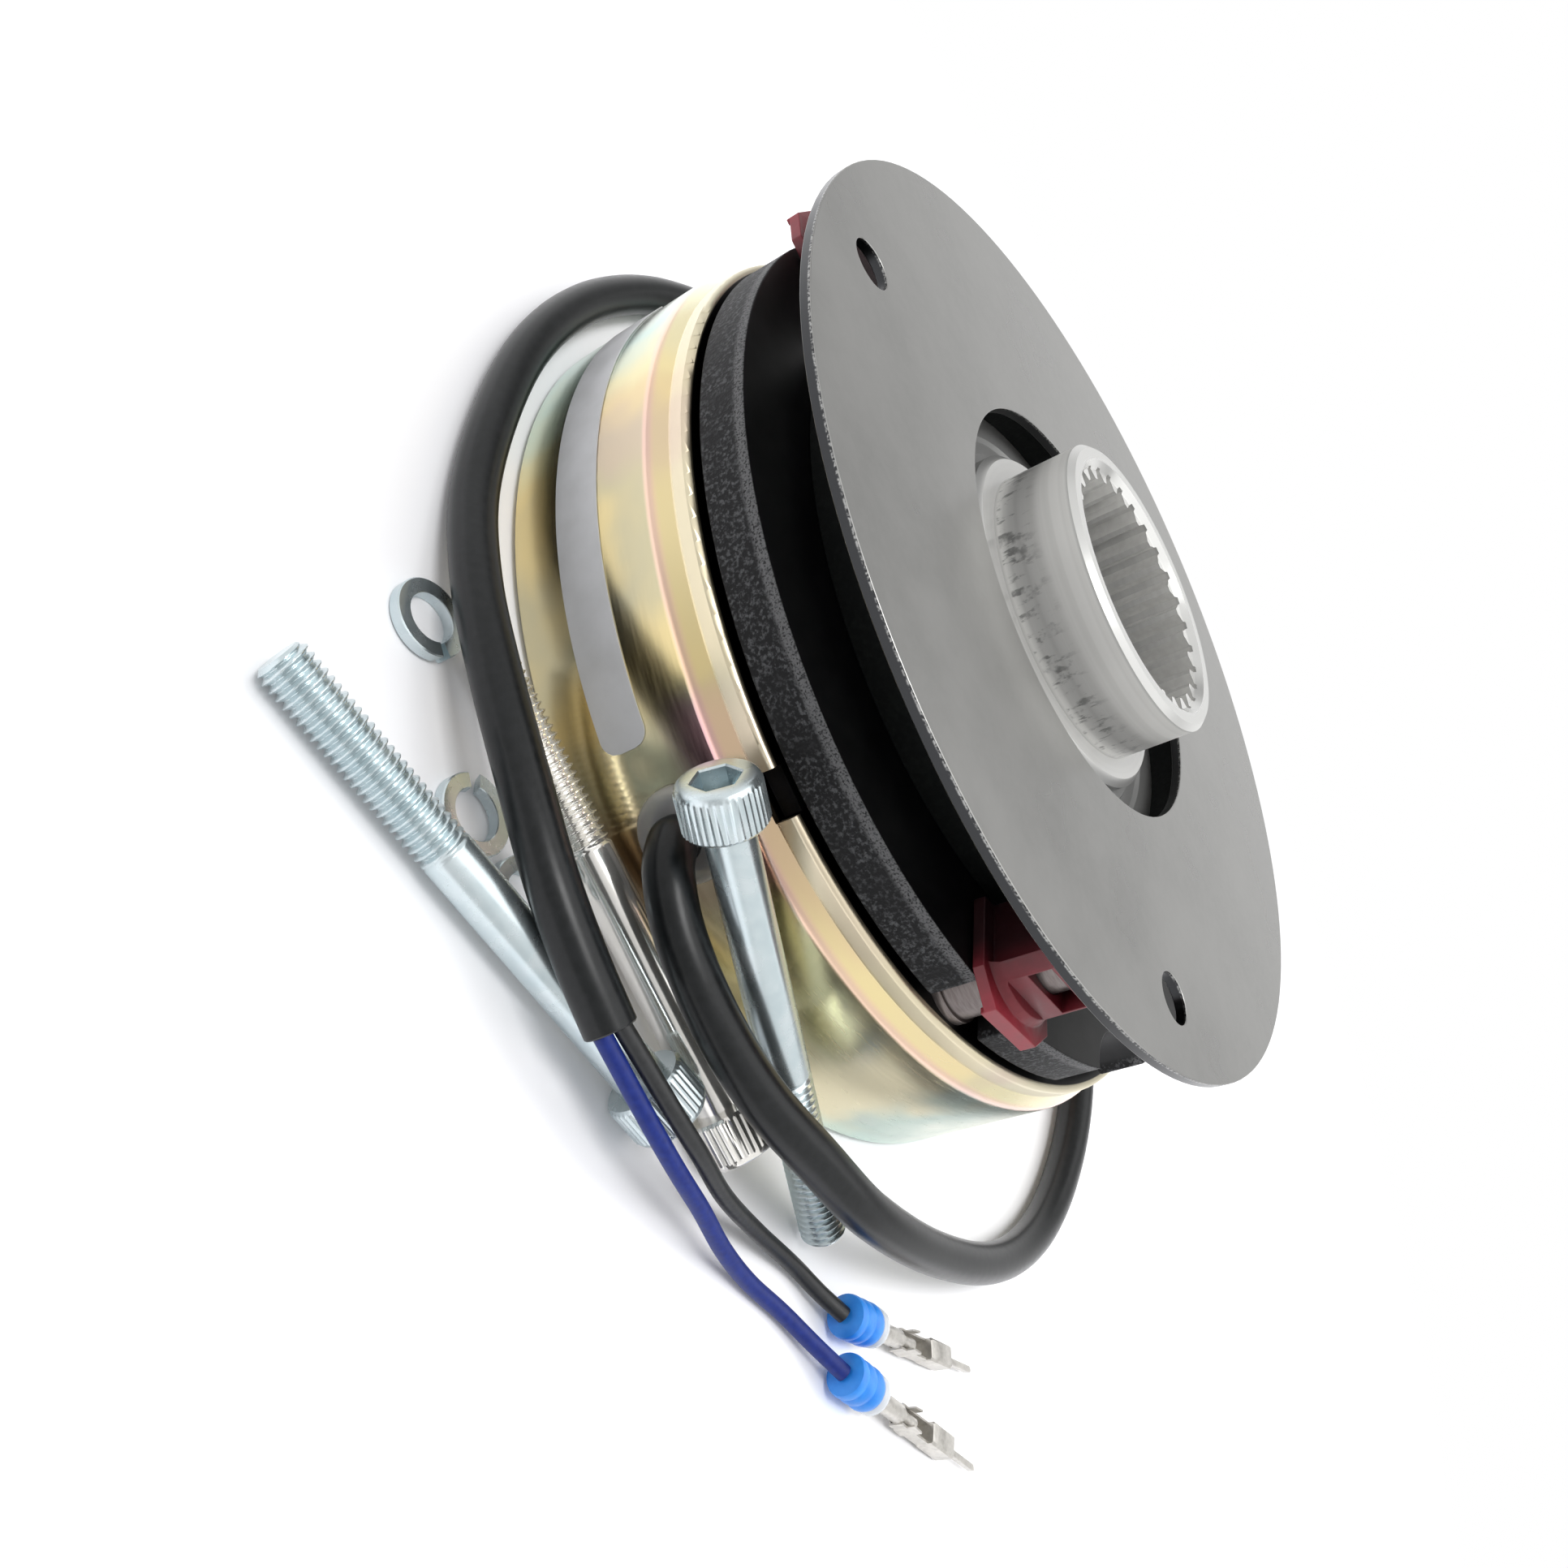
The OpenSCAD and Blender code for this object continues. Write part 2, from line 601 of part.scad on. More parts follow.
// Outline of the splined hole: tooth tips, involute flanks and roots in turn
function spline_outline() = [for (i = [0:teeth - 1], s = [-1, 1], k = [0:flank_points - 1])
  let (
    share = (s < 0 ? k : flank_points - 1 - k) / (flank_points - 1),
    r = spline_tip_r + share * (spline_root_r - spline_tip_r),
    a = 360 * i / teeth + s * space_half(r)
  ) r * [cos(a), sin(a)]];

// Turned section of the hub and its carrier disc
module rotor_section() {
  low = carrier_z - hub_down;
  polygon([
    [0, low], [hub_d / 2 - hub_chamfer, low], [hub_d / 2, low + hub_chamfer], [hub_d / 2, carrier_z],
    [lining_d / 2 - 0.5, carrier_z], [lining_d / 2 - 0.5, carrier_top],
    [carrier_groove[1], carrier_top], [carrier_groove[1] - 0.5, carrier_top - carrier_groove[2]],
    [carrier_groove[0] + 0.5, carrier_top - carrier_groove[2]], [carrier_groove[0], carrier_top],
    [collar_d / 2, carrier_top], [collar_d / 2, carrier_top + collar_h - 1],
    [collar_d / 2 - 1, carrier_top + collar_h], [hub_d / 2, carrier_top + collar_h],
    [hub_d / 2, hub_top - hub_chamfer], [hub_d / 2 - hub_chamfer, hub_top], [0, hub_top],
  ]);
}

module rotor_hub() {
  low = carrier_z - hub_down;
  out_r = mouth_in_r + mouth_chamfer;
  color("#a9abae") difference() {
    rotate_extrude() rotor_section();
    translate([0, 0, low - eps]) linear_extrude(hub_top - low + 2 * eps) polygon(spline_outline());
    translate([0, 0, hub_top - mouth_chamfer])
      cylinder(r1 = mouth_in_r, r2 = out_r + eps, h = mouth_chamfer + eps);
    translate([0, 0, low - eps]) cylinder(r1 = out_r + eps, r2 = mouth_in_r, h = mouth_chamfer + eps);
  }
}

module lining_lower() {
  color("#2a2f2e") ring(lining_d / 2, lining_in_d / 2, rotor_z, lining_t);
}

module lining_upper() {
  color("#2a2f2e") ring(lining_d / 2, lining_in_d / 2, carrier_top, lining_t);
}

// Steel disc that the rotor runs against, drilled on the screw circle
module flange_plate() {
  color("#8b8b88") rotate([0, 0, plate_turn]) difference() {
    ring(plate_r, plate_bore_d / 2, plate_z, plate_t);
    for (i = [0:2]) on_screw_circle(i)
      translate([0, 0, plate_z - eps]) cylinder(r = plate_hole_r, h = plate_t + 2 * eps);
  }
}

magnet_housing();
coil_bobbin();
coil_winding();
coil_potting();
pressure_springs();
spacer_sleeve(0);  // spacer_sleeve_1
spacer_sleeve(1);  // spacer_sleeve_2
spacer_sleeve(2);  // spacer_sleeve_3
retaining_clip(0);  // retaining_clip_1
retaining_clip(1);  // retaining_clip_2
retaining_clip(2);  // retaining_clip_3
cable_grommet();
label_strip();
cable_jacket();
wire_black();
wire_blue();
wire_seal_black();
wire_seal_blue();
contact_pin_black();
contact_pin_blue();
mounting_screws();
lock_washers();
armature_plate();
rotor_hub();
lining_lower();
lining_upper();
flange_plate();
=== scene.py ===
"""Spring-applied electromagnetic clutch-brake with its loose screws, lock washers and lead."""
import math

import bmesh
import bpy
import numpy as np
from mathutils import Matrix


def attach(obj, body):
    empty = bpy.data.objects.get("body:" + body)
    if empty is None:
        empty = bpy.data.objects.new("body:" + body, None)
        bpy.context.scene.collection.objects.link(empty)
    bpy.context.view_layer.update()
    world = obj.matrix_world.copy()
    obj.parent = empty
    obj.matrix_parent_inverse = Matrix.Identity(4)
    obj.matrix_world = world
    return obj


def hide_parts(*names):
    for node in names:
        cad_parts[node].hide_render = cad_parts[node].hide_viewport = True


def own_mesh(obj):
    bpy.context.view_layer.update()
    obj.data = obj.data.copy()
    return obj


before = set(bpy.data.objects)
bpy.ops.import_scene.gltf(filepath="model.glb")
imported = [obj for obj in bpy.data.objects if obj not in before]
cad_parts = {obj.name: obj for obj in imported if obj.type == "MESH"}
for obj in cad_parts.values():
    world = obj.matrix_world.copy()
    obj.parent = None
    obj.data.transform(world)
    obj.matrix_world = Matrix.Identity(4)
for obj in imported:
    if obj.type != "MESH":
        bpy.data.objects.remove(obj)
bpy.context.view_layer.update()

# ---- Camera -------------------------------------------------------------------------------
# A hand-held camera in front of the clutch, a little over a hand's width above the table,
# looking down at it and rolled well over to its side.
MM = 0.001
CAMERA_PLACE = np.array([0.0, -208.21, 109.09]) * MM
CAMERA_YAW = 0.0324
CAMERA_PITCH = 0.5116
CAMERA_ROLL = 0.03303 + math.radians(66)
CAMERA_LENS = 34.04

ahead = np.array([
    math.sin(CAMERA_YAW) * math.cos(CAMERA_PITCH),
    math.cos(CAMERA_YAW) * math.cos(CAMERA_PITCH),
    -math.sin(CAMERA_PITCH),
])
level = np.array([math.cos(CAMERA_YAW), -math.sin(CAMERA_YAW), 0.0])
upright = np.cross(level, ahead)
right = math.cos(CAMERA_ROLL) * level + math.sin(CAMERA_ROLL) * upright
top = math.cos(CAMERA_ROLL) * upright - math.sin(CAMERA_ROLL) * level
camera_data = bpy.data.cameras.new("camera")
camera_data.lens = CAMERA_LENS
camera_data.clip_start = 0.01
camera = bpy.data.objects.new("camera", camera_data)
bpy.context.scene.collection.objects.link(camera)
place = np.eye(4)
place[:3] = np.column_stack([right, top, -ahead, CAMERA_PLACE])
camera.matrix_world = Matrix(place.tolist())
bpy.context.scene.camera = camera

# ---- Cable jacket -------------------------------------------------------------------------
# Round black PVC jacket over two wires, cut square at its free end, where pale filler shows.
# It leaves the magnet through the grommet, goes once round the clutch on the table and comes
# to lie on the loose screws in front.
LEAD_ANGLE = math.radians(-85)
GROMMET_Z = 14.4
EXIT_R = 67.5
JACKET_R = 3.0 * MM
JACKET_CHAMFER, JACKET_BORE, FILLER_R = 0.2 * MM, 2.3 * MM, 2.25 * MM
FILLER_BACK, BORE_DEPTH = 0.55 * MM, 0.6 * MM
EXIT_WAY = np.array([math.cos(LEAD_ANGLE), math.sin(LEAD_ANGLE), 0.0])
CABLE_EXIT = EXIT_WAY * EXIT_R + [0, 0, GROMMET_Z]
CABLE_ROUTE = np.vstack([CABLE_EXIT, CABLE_EXIT + 1.5 * EXIT_WAY, [
    [9, -72, 14.4], [16, -74, 14], [26, -73.8, 13.8], [36, -71.4, 13.8], [46, -66, 13.6],
    [57.5, -57.5, 12], [71.8, -39.5, 8], [82.5, -20.5, 5], [87, -3, 3.5], [86, 14.4, 3.1],
    [80.4, 31.8, 3.1], [69.5, 48.8, 3.1], [54.5, 62.5, 3.1], [36, 73, 3.1], [14, 79, 3.1],
    [-8, 79, 3.1], [-29, 73, 3.1], [-48, 59.8, 3.1], [-61.6, 42.4, 3.1], [-69.4, 23.2, 3.1],
    [-72.2, 5, 3.1], [-71, -11, 3.1], [-67, -25.5, 3.1], [-60.5, -39, 3.1], [-51, -52, 3.1],
    [-41, -62.5, 3.4], [-30, -71.5, 5.6], [-19, -78, 8], [-7, -82.8, 9.6],
    [4, -86, 10.3], [13, -86.8, 10.3], [21, -86.8, 10.3]]]) * MM


def unit(v):
    """Vectors of length one: each vector over its own length."""
    return v / np.linalg.norm(v, axis=-1, keepdims=True)


def headings(points):
    """Direction of a route at each point: along the chord between its two neighbours, and at
    each end along the end span."""
    return unit(np.concatenate([points[1:2] - points[:1], points[2:] - points[:-2],
                                points[-1:] - points[-2:-1]]))


def smooth_route(points, steps):
    """Cubic Hermite curve through the points; the tangent at a point has the route's heading
    there and is as long as the span that it belongs to."""
    chord = headings(points)
    span = np.linalg.norm(np.diff(points, axis=0), axis=1)[:, None, None]
    t = (np.arange(steps) / steps)[None, :, None]
    a, b = chord[:-1, None] * span, chord[1:, None] * span
    curve = ((2 * t**3 - 3 * t**2 + 1) * points[:-1, None] + (t**3 - 2 * t**2 + t) * a
             + (3 * t**2 - 2 * t**3) * points[1:, None] + (t**3 - t**2) * b)
    return np.concatenate([curve.reshape(-1, 3), points[-1:]])


def tube_rings(path, radius, sides):
    """Rings of points round a path: point + radius * (cos a * up + sin a * side), where side
    is level and square to the path and up is square to both. The radius may change."""
    way = headings(path)
    side = unit(np.cross(way, [0.0, 0.0, 1.0]))
    up = np.cross(side, way)
    a = (2 * np.pi * np.arange(sides) / sides)[None, :, None]
    r = np.broadcast_to(radius, len(path))[:, None, None]
    return path[:, None] + r * (np.cos(a) * up[:, None] + np.sin(a) * side[:, None])


def shell(rings):
    """A closed skin over rings of points: quads from ring i to ring i + 1, and a flat cap at
    each end. Returns its points and its faces."""
    rows, cols = rings.shape[:2]
    i, j = np.arange(rows - 1)[:, None] * cols, np.arange(cols)[None, :]
    k = (j + 1) % cols
    quads = np.stack(np.broadcast_arrays(i + j, i + k, i + cols + k, i + cols + j), -1)
    caps = [list(range(cols))[::-1], list(range((rows - 1) * cols, rows * cols))]
    return rings.reshape(-1, 3), quads.reshape(-1, 4).tolist() + caps


def new_piece(name, shells, material, sharp=35):
    """One mesh object made of shells, smooth but for edges sharper than the angle given."""
    points, faces, first = [], [], 0
    for found, sides in shells:
        points.append(found)
        faces += [[first + n for n in face] for face in sides]
        first += len(found)
    mesh = bpy.data.meshes.new(name)
    mesh.from_pydata(np.concatenate(points).tolist(), [], faces)
    mesh.shade_smooth()
    mesh.set_sharp_from_angle(angle=math.radians(sharp))
    mesh.materials.append(material)
    piece = bpy.data.objects.new(name, mesh)
    bpy.context.scene.collection.objects.link(piece)
    return piece


def new_material(name, colour, roughness, metallic=0.0, **constants):
    """A material of one Principled BSDF with these constants on its own sockets."""
    made = bpy.data.materials.new(name)
    made.use_nodes = True
    bsdf = made.node_tree.nodes["Principled BSDF"]
    bsdf.inputs["Base Color"].default_value = (*colour, 1)
    bsdf.inputs["Roughness"].default_value = roughness
    bsdf.inputs["Metallic"].default_value = metallic
    for socket, value in constants.items():
        bsdf.inputs[socket.replace("_", " ")].default_value = value
    return made


def new_group(name, inputs, outputs):
    """An empty shader node group with these input and output sockets, and its two end nodes."""
    group = bpy.data.node_groups.new(name, "ShaderNodeTree")
    for label, kind, value in inputs:
        group.interface.new_socket(label, in_out="INPUT", socket_type=kind).default_value = value
    for label, kind in outputs:
        group.interface.new_socket(label, in_out="OUTPUT", socket_type=kind)
    return group, group.nodes.new("NodeGroupInput"), group.nodes.new("NodeGroupOutput")


def add(tree, kind, settings=None, **sockets):
    """A node in the tree. Settings are its own properties; a socket is given a value, or an
    output socket to link from. Underscores stand for spaces in socket names, and n0, n1 and so
    on name a socket by its number."""
    made = tree.nodes.new("ShaderNode" + kind)
    for key, value in (settings or {}).items():
        setattr(made, key, value)
    for key, value in sockets.items():
        numbered = key[0] == "n" and key[1:].isdigit()
        socket = made.inputs[int(key[1:]) if numbered else key.replace("_", " ")]
        if isinstance(value, bpy.types.NodeSocket):
            tree.links.new(value, socket)
        else:
            socket.default_value = value
    return made


def noise(tree, place, scale, detail, roughness=0.5):
    """Smooth noise of the given scale at a place, about 0 to 1."""
    return add(tree, "TexNoise", Vector=place, Scale=scale, Detail=detail,
               Roughness=roughness).outputs["Fac"]


# Mottle: noise in the object's own coordinates turns one colour into another, one roughness
# into another, and raises the surface where it is high.
mottle, m_in, m_out = new_group("mottle", [
    ("First colour", "NodeSocketColor", (0.1, 0.1, 0.1, 1)),
    ("Second colour", "NodeSocketColor", (0.2, 0.2, 0.2, 1)),
    ("Scale", "NodeSocketFloat", 1000), ("Detail", "NodeSocketFloat", 4),
    ("Low", "NodeSocketFloat", 0.35), ("High", "NodeSocketFloat", 0.65),
    ("First roughness", "NodeSocketFloat", 0.4), ("Second roughness", "NodeSocketFloat", 0.5),
    ("Relief", "NodeSocketFloat", 0.0), ("Stretch", "NodeSocketVector", (1, 1, 1)),
], [("Colour", "NodeSocketColor"), ("Roughness", "NodeSocketFloat"),
    ("Normal", "NodeSocketVector")])
m_place = add(mottle, "VectorMath", {"operation": "MULTIPLY"},
              n0=add(mottle, "TexCoord").outputs["Object"], n1=m_in.outputs["Stretch"])
m_noise = noise(mottle, m_place.outputs[0], m_in.outputs["Scale"], m_in.outputs["Detail"])
m_mask = add(mottle, "MapRange", Value=m_noise, From_Min=m_in.outputs["Low"],
             From_Max=m_in.outputs["High"]).outputs[0]
m_colour = add(mottle, "Mix", {"data_type": "RGBA"}, n0=m_mask, n6=m_in.outputs["First colour"],
               n7=m_in.outputs["Second colour"])
m_rough = add(mottle, "Mix", {"data_type": "FLOAT"}, n0=m_mask, n2=m_in.outputs["First roughness"],
              n3=m_in.outputs["Second roughness"])
m_bump = add(mottle, "Bump", Height=m_mask, Distance=m_in.outputs["Relief"], Strength=1.0)
for source, label in ((m_colour.outputs[2], "Colour"), (m_rough.outputs[0], "Roughness"),
                      (m_bump.outputs[0], "Normal")):
    mottle.links.new(source, m_out.inputs[label])


def mottled(name, first, second, roughness, scale, relief=0.0, limits=(0.35, 0.65),
            stretch=(1, 1, 1), metallic=0.0, **constants):
    """A material whose colour, roughness and relief all come from one mottle group."""
    made = new_material(name, first, roughness[0], metallic, **constants)
    tree = made.node_tree
    group = tree.nodes.new("ShaderNodeGroup")
    group.node_tree = mottle
    values = {"First colour": (*first, 1), "Second colour": (*second, 1), "Scale": scale,
              "Low": limits[0], "High": limits[1], "First roughness": roughness[0],
              "Second roughness": roughness[1], "Relief": relief, "Stretch": stretch}
    for label, value in values.items():
        group.inputs[label].default_value = value
    bsdf = tree.nodes["Principled BSDF"]
    tree.links.new(group.outputs["Colour"], bsdf.inputs["Base Color"])
    tree.links.new(group.outputs["Roughness"], bsdf.inputs["Roughness"])
    if relief:
        tree.links.new(group.outputs["Normal"], bsdf.inputs["Normal"])
    return made


jacket_pvc = mottled("black PVC", (0.0065, 0.0075, 0.008), (0.010, 0.011, 0.012), (0.28, 0.32),
                     900, 0.000002, Specular_IOR_Level=0.30)
jacket_path = smooth_route(CABLE_ROUTE, 8)
jacket_line = np.concatenate([jacket_path[:-1], jacket_path[-1] - [[JACKET_CHAMFER, 0, 0]],
                              jacket_path[-1:]])
jacket_radius = np.full(len(jacket_line), JACKET_R)
jacket_radius[-1] = JACKET_R - JACKET_CHAMFER
jacket_rings = tube_rings(jacket_line, jacket_radius, 28)
bore_ring = tube_rings(jacket_path[-2:], JACKET_BORE, 28)[-1]
cut_end = np.stack([bore_ring, bore_ring - [BORE_DEPTH, 0, 0]])
cable_jacket = new_piece("lead_jacket", [shell(np.concatenate([jacket_rings, cut_end]))],
                         jacket_pvc)
filler_white = mottled("cotton filler", (0.55, 0.54, 0.52), (0.75, 0.74, 0.72), (0.8, 0.9), 3000,
                       0.00005)
filler_ends = np.array([[-FILLER_BACK, 0, 0], [0, 0, 0]]) + jacket_path[-1]
cable_filler = new_piece("lead_filler", [shell(tube_rings(filler_ends, FILLER_R, 28))],
                         filler_white)
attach(cable_jacket, "magnet")
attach(cable_filler, "magnet")
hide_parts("cable_jacket")

# ---- Wires, seals and contacts ------------------------------------------------------------
# One black and one blue PVC-insulated wire, each with a ribbed silicone seal slid on and a
# tin-plated contact crimped to its end: rolled wire barrel, two crimp ears, folded box, pin.
WIRE_R = 1.1 * MM
CONTACT_SLOPE = math.radians(-3.4)
BLACK_ROUTE = np.array([
    [21, -86, 11.2], [28, -84.2, 10.9], [33, -82.8, 10.6], [38, -80.2, 9.4], [45, -75, 6.2],
    [52.5, -68, 3.2], [60, -61.8, 1.6], [65, -59.6, 2], [68.9, -58.4, 3.2]]) * MM
BLUE_ROUTE = np.array([
    [21, -87.6, 9.6], [28, -86.2, 9.2], [34, -84.6, 8.6], [39, -82.3, 7.4], [44.5, -79, 5.6],
    [51, -75.2, 3.2], [57, -71.2, 1.6], [63, -67.4, 1.4], [69, -64.8, 2], [73.9, -63.2, 3.2]]) * MM


def turned_frame(heading, slope):
    """Three axes as rows: down, across and forward, for a thing that points along the heading
    and rises by the slope, both in radians."""
    east, north = math.cos(heading), math.sin(heading)
    return np.array([
        [math.sin(slope) * east, math.sin(slope) * north, -math.cos(slope)],
        [-north, east, 0.0],
        [math.cos(slope) * east, math.cos(slope) * north, math.sin(slope)],
    ])


def turned_rings(profile, cols):
    """A turned form: each (z, r) of the profile gives a ring of radius r at height z."""
    z, r = np.array(profile).T[:, :, None]
    a = 2 * np.pi * np.arange(cols)[None, :] / cols
    return np.stack(np.broadcast_arrays(r * np.cos(a), r * np.sin(a), z), -1)


def sheet_rings(outline, stations):
    """A closed outline in x and y carried along z, at each station (z, x scale, y scale)."""
    z, wide, high = np.array(stations).T[:, :, None]
    x, y = np.array(outline).T[:, None, :]
    return np.stack(np.broadcast_arrays(x * wide, y * high, z), -1)


def placed(rings, axes, origin):
    """Rings in millimetres turned to the axes and moved to the origin, in metres."""
    return rings * MM @ axes + origin


def round_outline(radius, count):
    """A circle of the given radius as a closed outline."""
    return [(radius * math.cos(t), radius * math.sin(t))
            for t in np.linspace(0, 2 * math.pi, count, endpoint=False)]


def clipped_outline(half, corner):
    """A square outline with its corners cut off where the other coordinate is at corner."""
    return [(half, -corner), (corner, -half), (-corner, -half), (-half, -corner),
            (-half, corner), (-corner, half), (corner, half), (half, corner)][::-1]


def open_channel(half, height, wall):
    """Outline of a sheet folded to a U: floor at +x (down), two walls towards -x."""
    return [(half, -half), (half, half), (half - height, half), (half - height, half - wall),
            (half - wall, half - wall), (half - wall, wall - half), (half - height, wall - half),
            (half - height, -half)]


seal_profile = [(0.0, 1.15), (0.0, 1.9), (0.15, 2.3)]
for start in (0.25, 2.15, 4.05):
    seal_profile += [(start, 2.66), (start + 0.2, 2.74), (start + 0.5, 2.79), (start + 0.9, 2.79),
                     (start + 1.2, 2.74), (start + 1.4, 2.66), (start + 1.65, 2.57)]
seal_profile += [(5.8, 2.3), (5.8, 1.15)]
ring_profile = [(5.6, 1.2), (5.6, 2.2), (5.85, 2.55), (6.2, 2.65), (7.0, 2.6), (7.35, 2.4),
                (7.5, 2.1), (7.5, 1.2)]
SHEET_T = 0.28
barrel = round_outline(1.15, 20)
strands = round_outline(0.85, 12)
ears = open_channel(1.5, 3.2, SHEET_T)
low_ears = open_channel(1.35, 2.0, SHEET_T)
box = clipped_outline(1.5, 1.2)
pin = clipped_outline(0.45, 0.35)
# Each form: its outline, and its stations along the contact as (z, x scale, y scale).
contact_form = [
    (barrel, [(7.3, 1.1, 1.1), (13.4, 1.1, 1.1), (14.2, 0.86, 0.86)]),
    (strands, [(13.9, 1, 1), (17.2, 1, 1)]),
    (low_ears, [(13.6, 1, 1), (14.4, 1, 1)]),
    (ears, [(14.9, 1, 0.86), (16.9, 1, 1.0)]),
    (low_ears, [(14.2, 0.9, 1), (20.8, 0.9, 1)]),
    (box, [(20.5, 0.9, 0.9), (20.8, 1, 1), (26.0, 1, 1), (26.5, 0.8, 0.8), (26.7, 0.4, 0.55)]),
    (pin, [(26.2, 1, 1), (33.6, 1, 1), (34.3, 0.5, 0.5)]),
]

seal_silicone = mottled("blue silicone", (0.020, 0.215, 0.72), (0.030, 0.265, 0.79), (0.34, 0.44),
                        700, 0.00001)
ring_clear = new_material("clear ring", (0.84, 0.88, 0.92), 0.10, Transmission_Weight=0.35, IOR=1.5)
tin_plate = mottled("tin plate", (0.50, 0.48, 0.445), (0.62, 0.60, 0.56), (0.28, 0.36), 1400,
                    0.000004, metallic=0.75)
wire_finish = {
    "black": mottled("black wire", (0.009, 0.010, 0.011), (0.014, 0.015, 0.016), (0.36, 0.46), 1200,
                     0.00001),
    "blue": mottled("blue wire", (0.006, 0.018, 0.155), (0.010, 0.026, 0.195), (0.38, 0.48), 1200,
                    0.00001, Specular_IOR_Level=0.3),
}
for colour, route, heading, length in (("black", BLACK_ROUTE, 48, 0.0578),
                                       ("blue", BLUE_ROUTE, 38, 0.06)):
    axes, end = turned_frame(math.radians(heading), CONTACT_SLOPE), route[-1]
    path = smooth_route(route, 8)
    wire = new_piece(f"wire_{colour}_insulation", [shell(tube_rings(path, WIRE_R, 18))],
                     wire_finish[colour])
    seal = new_piece(f"seal_{colour}_ribbed",
                     [shell(placed(turned_rings(seal_profile, 40), axes, end))], seal_silicone)
    ring = new_piece(f"seal_{colour}_clear_ring",
                     [shell(placed(turned_rings(ring_profile, 40), axes, end))], ring_clear)
    contact = new_piece(f"contact_{colour}_crimped",
                        [shell(placed(sheet_rings(outline, stations), axes, end))
                         for outline, stations in contact_form], tin_plate)
    for piece, slot in ((wire, f"wire_{colour}"), (seal, "seal_blue"), (ring, "seal_blue"),
                        (contact, "tin_plate")):
        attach(piece, "magnet")
    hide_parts(f"wire_{colour}")
    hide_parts(f"wire_seal_{colour}")
    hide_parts(f"contact_pin_{colour}")

# ---- Magnet housing -----------------------------------------------------------------------
# Turned steel pot with a stepped lip, zinc plated and yellow chromated: a thin mirror-like
# film whose tint runs from gold to mauve, olive and sea-green round the pot. Painted shade
# makes its pole face and the slot's inside near black.
def dress(node, material):
    """Gives a CAD node its material."""
    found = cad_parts[node]
    found.data.materials.clear()
    found.data.materials.append(material)
    return found


def ramp(tree, value, stops):
    """A smooth colour ramp fed by a value; each stop is (position, colour)."""
    made = add(tree, "ValToRGB", Fac=value)
    made.color_ramp.interpolation = "EASE"
    elements = made.color_ramp.elements
    while len(elements) < len(stops):
        elements.new(0.5)
    for element, (position, colour) in zip(elements, stops):
        element.position = position
        element.color = (*colour, 1)
    return made.outputs["Color"]


def band(tree, value, low, high, top=1.0):
    """A smooth step: 0 where the value is under low, top where it is over high. Where low is
    the larger of the two, it falls instead."""
    return add(tree, "MapRange", {"interpolation_type": "SMOOTHSTEP"}, Value=value, From_Min=low,
               From_Max=high, To_Max=top).outputs[0]


def spread(tree, value, low, high, first, second):
    """A straight step: first where the value is low, second where it is high."""
    return add(tree, "MapRange", Value=value, From_Min=low, From_Max=high, To_Min=first,
               To_Max=second).outputs[0]


def combined(tree, operation, first, second):
    """Two values put together by a math operation."""
    return add(tree, "Math", {"operation": operation}, n0=first, n1=second).outputs[0]


def blended(tree, share, first, second):
    """The first colour turned into the second by a share; plain colours are given as RGB."""
    first, second = ((*c, 1) if isinstance(c, tuple) else c for c in (first, second))
    return add(tree, "Mix", {"data_type": "RGBA"}, n0=share, n6=first, n7=second).outputs[2]


# Round coordinates: the angle about the axis in turns, the distance from it, the height, and a
# point on a rim of radius 1 at that height.
around, _, a_out = new_group("around the axis", [], [
    ("Turn", "NodeSocketFloat"), ("Radius", "NodeSocketFloat"), ("Height", "NodeSocketFloat"),
    ("Unrolled", "NodeSocketVector")])
a_axes = add(around, "SeparateXYZ", Vector=add(around, "TexCoord").outputs["Object"])
a_angle = add(around, "Math", {"operation": "ARCTAN2"}, n0=a_axes.outputs["Y"],
              n1=a_axes.outputs["X"])
a_turn = add(around, "Math", {"operation": "MULTIPLY_ADD"}, n0=a_angle.outputs[0],
             n1=0.5 / math.pi, n2=0.5)
a_flat = add(around, "CombineXYZ", X=a_axes.outputs["X"], Y=a_axes.outputs["Y"])
a_radius = add(around, "VectorMath", {"operation": "LENGTH"}, n0=a_flat.outputs[0])
a_way = add(around, "VectorMath", {"operation": "NORMALIZE"}, n0=a_flat.outputs[0])
a_rim = add(around, "SeparateXYZ", Vector=a_way.outputs[0])
a_unrolled = add(around, "CombineXYZ", X=a_rim.outputs["X"], Y=a_rim.outputs["Y"],
                 Z=a_axes.outputs["Z"])
for source, label in ((a_turn.outputs[0], "Turn"), (a_radius.outputs["Value"], "Radius"),
                      (a_axes.outputs["Z"], "Height"), (a_unrolled.outputs[0], "Unrolled")):
    around.links.new(source, a_out.inputs[label])


def group_node(tree, group):
    """An instance of a node group."""
    made = tree.nodes.new("ShaderNodeGroup")
    made.node_tree = group
    return made


def drawn_out(tree, unrolled, along):
    """The rim coordinates with their height stretched, so that noise on them runs round."""
    return add(tree, "VectorMath", {"operation": "MULTIPLY"}, n0=unrolled,
               n1=(1, 1, along)).outputs[0]


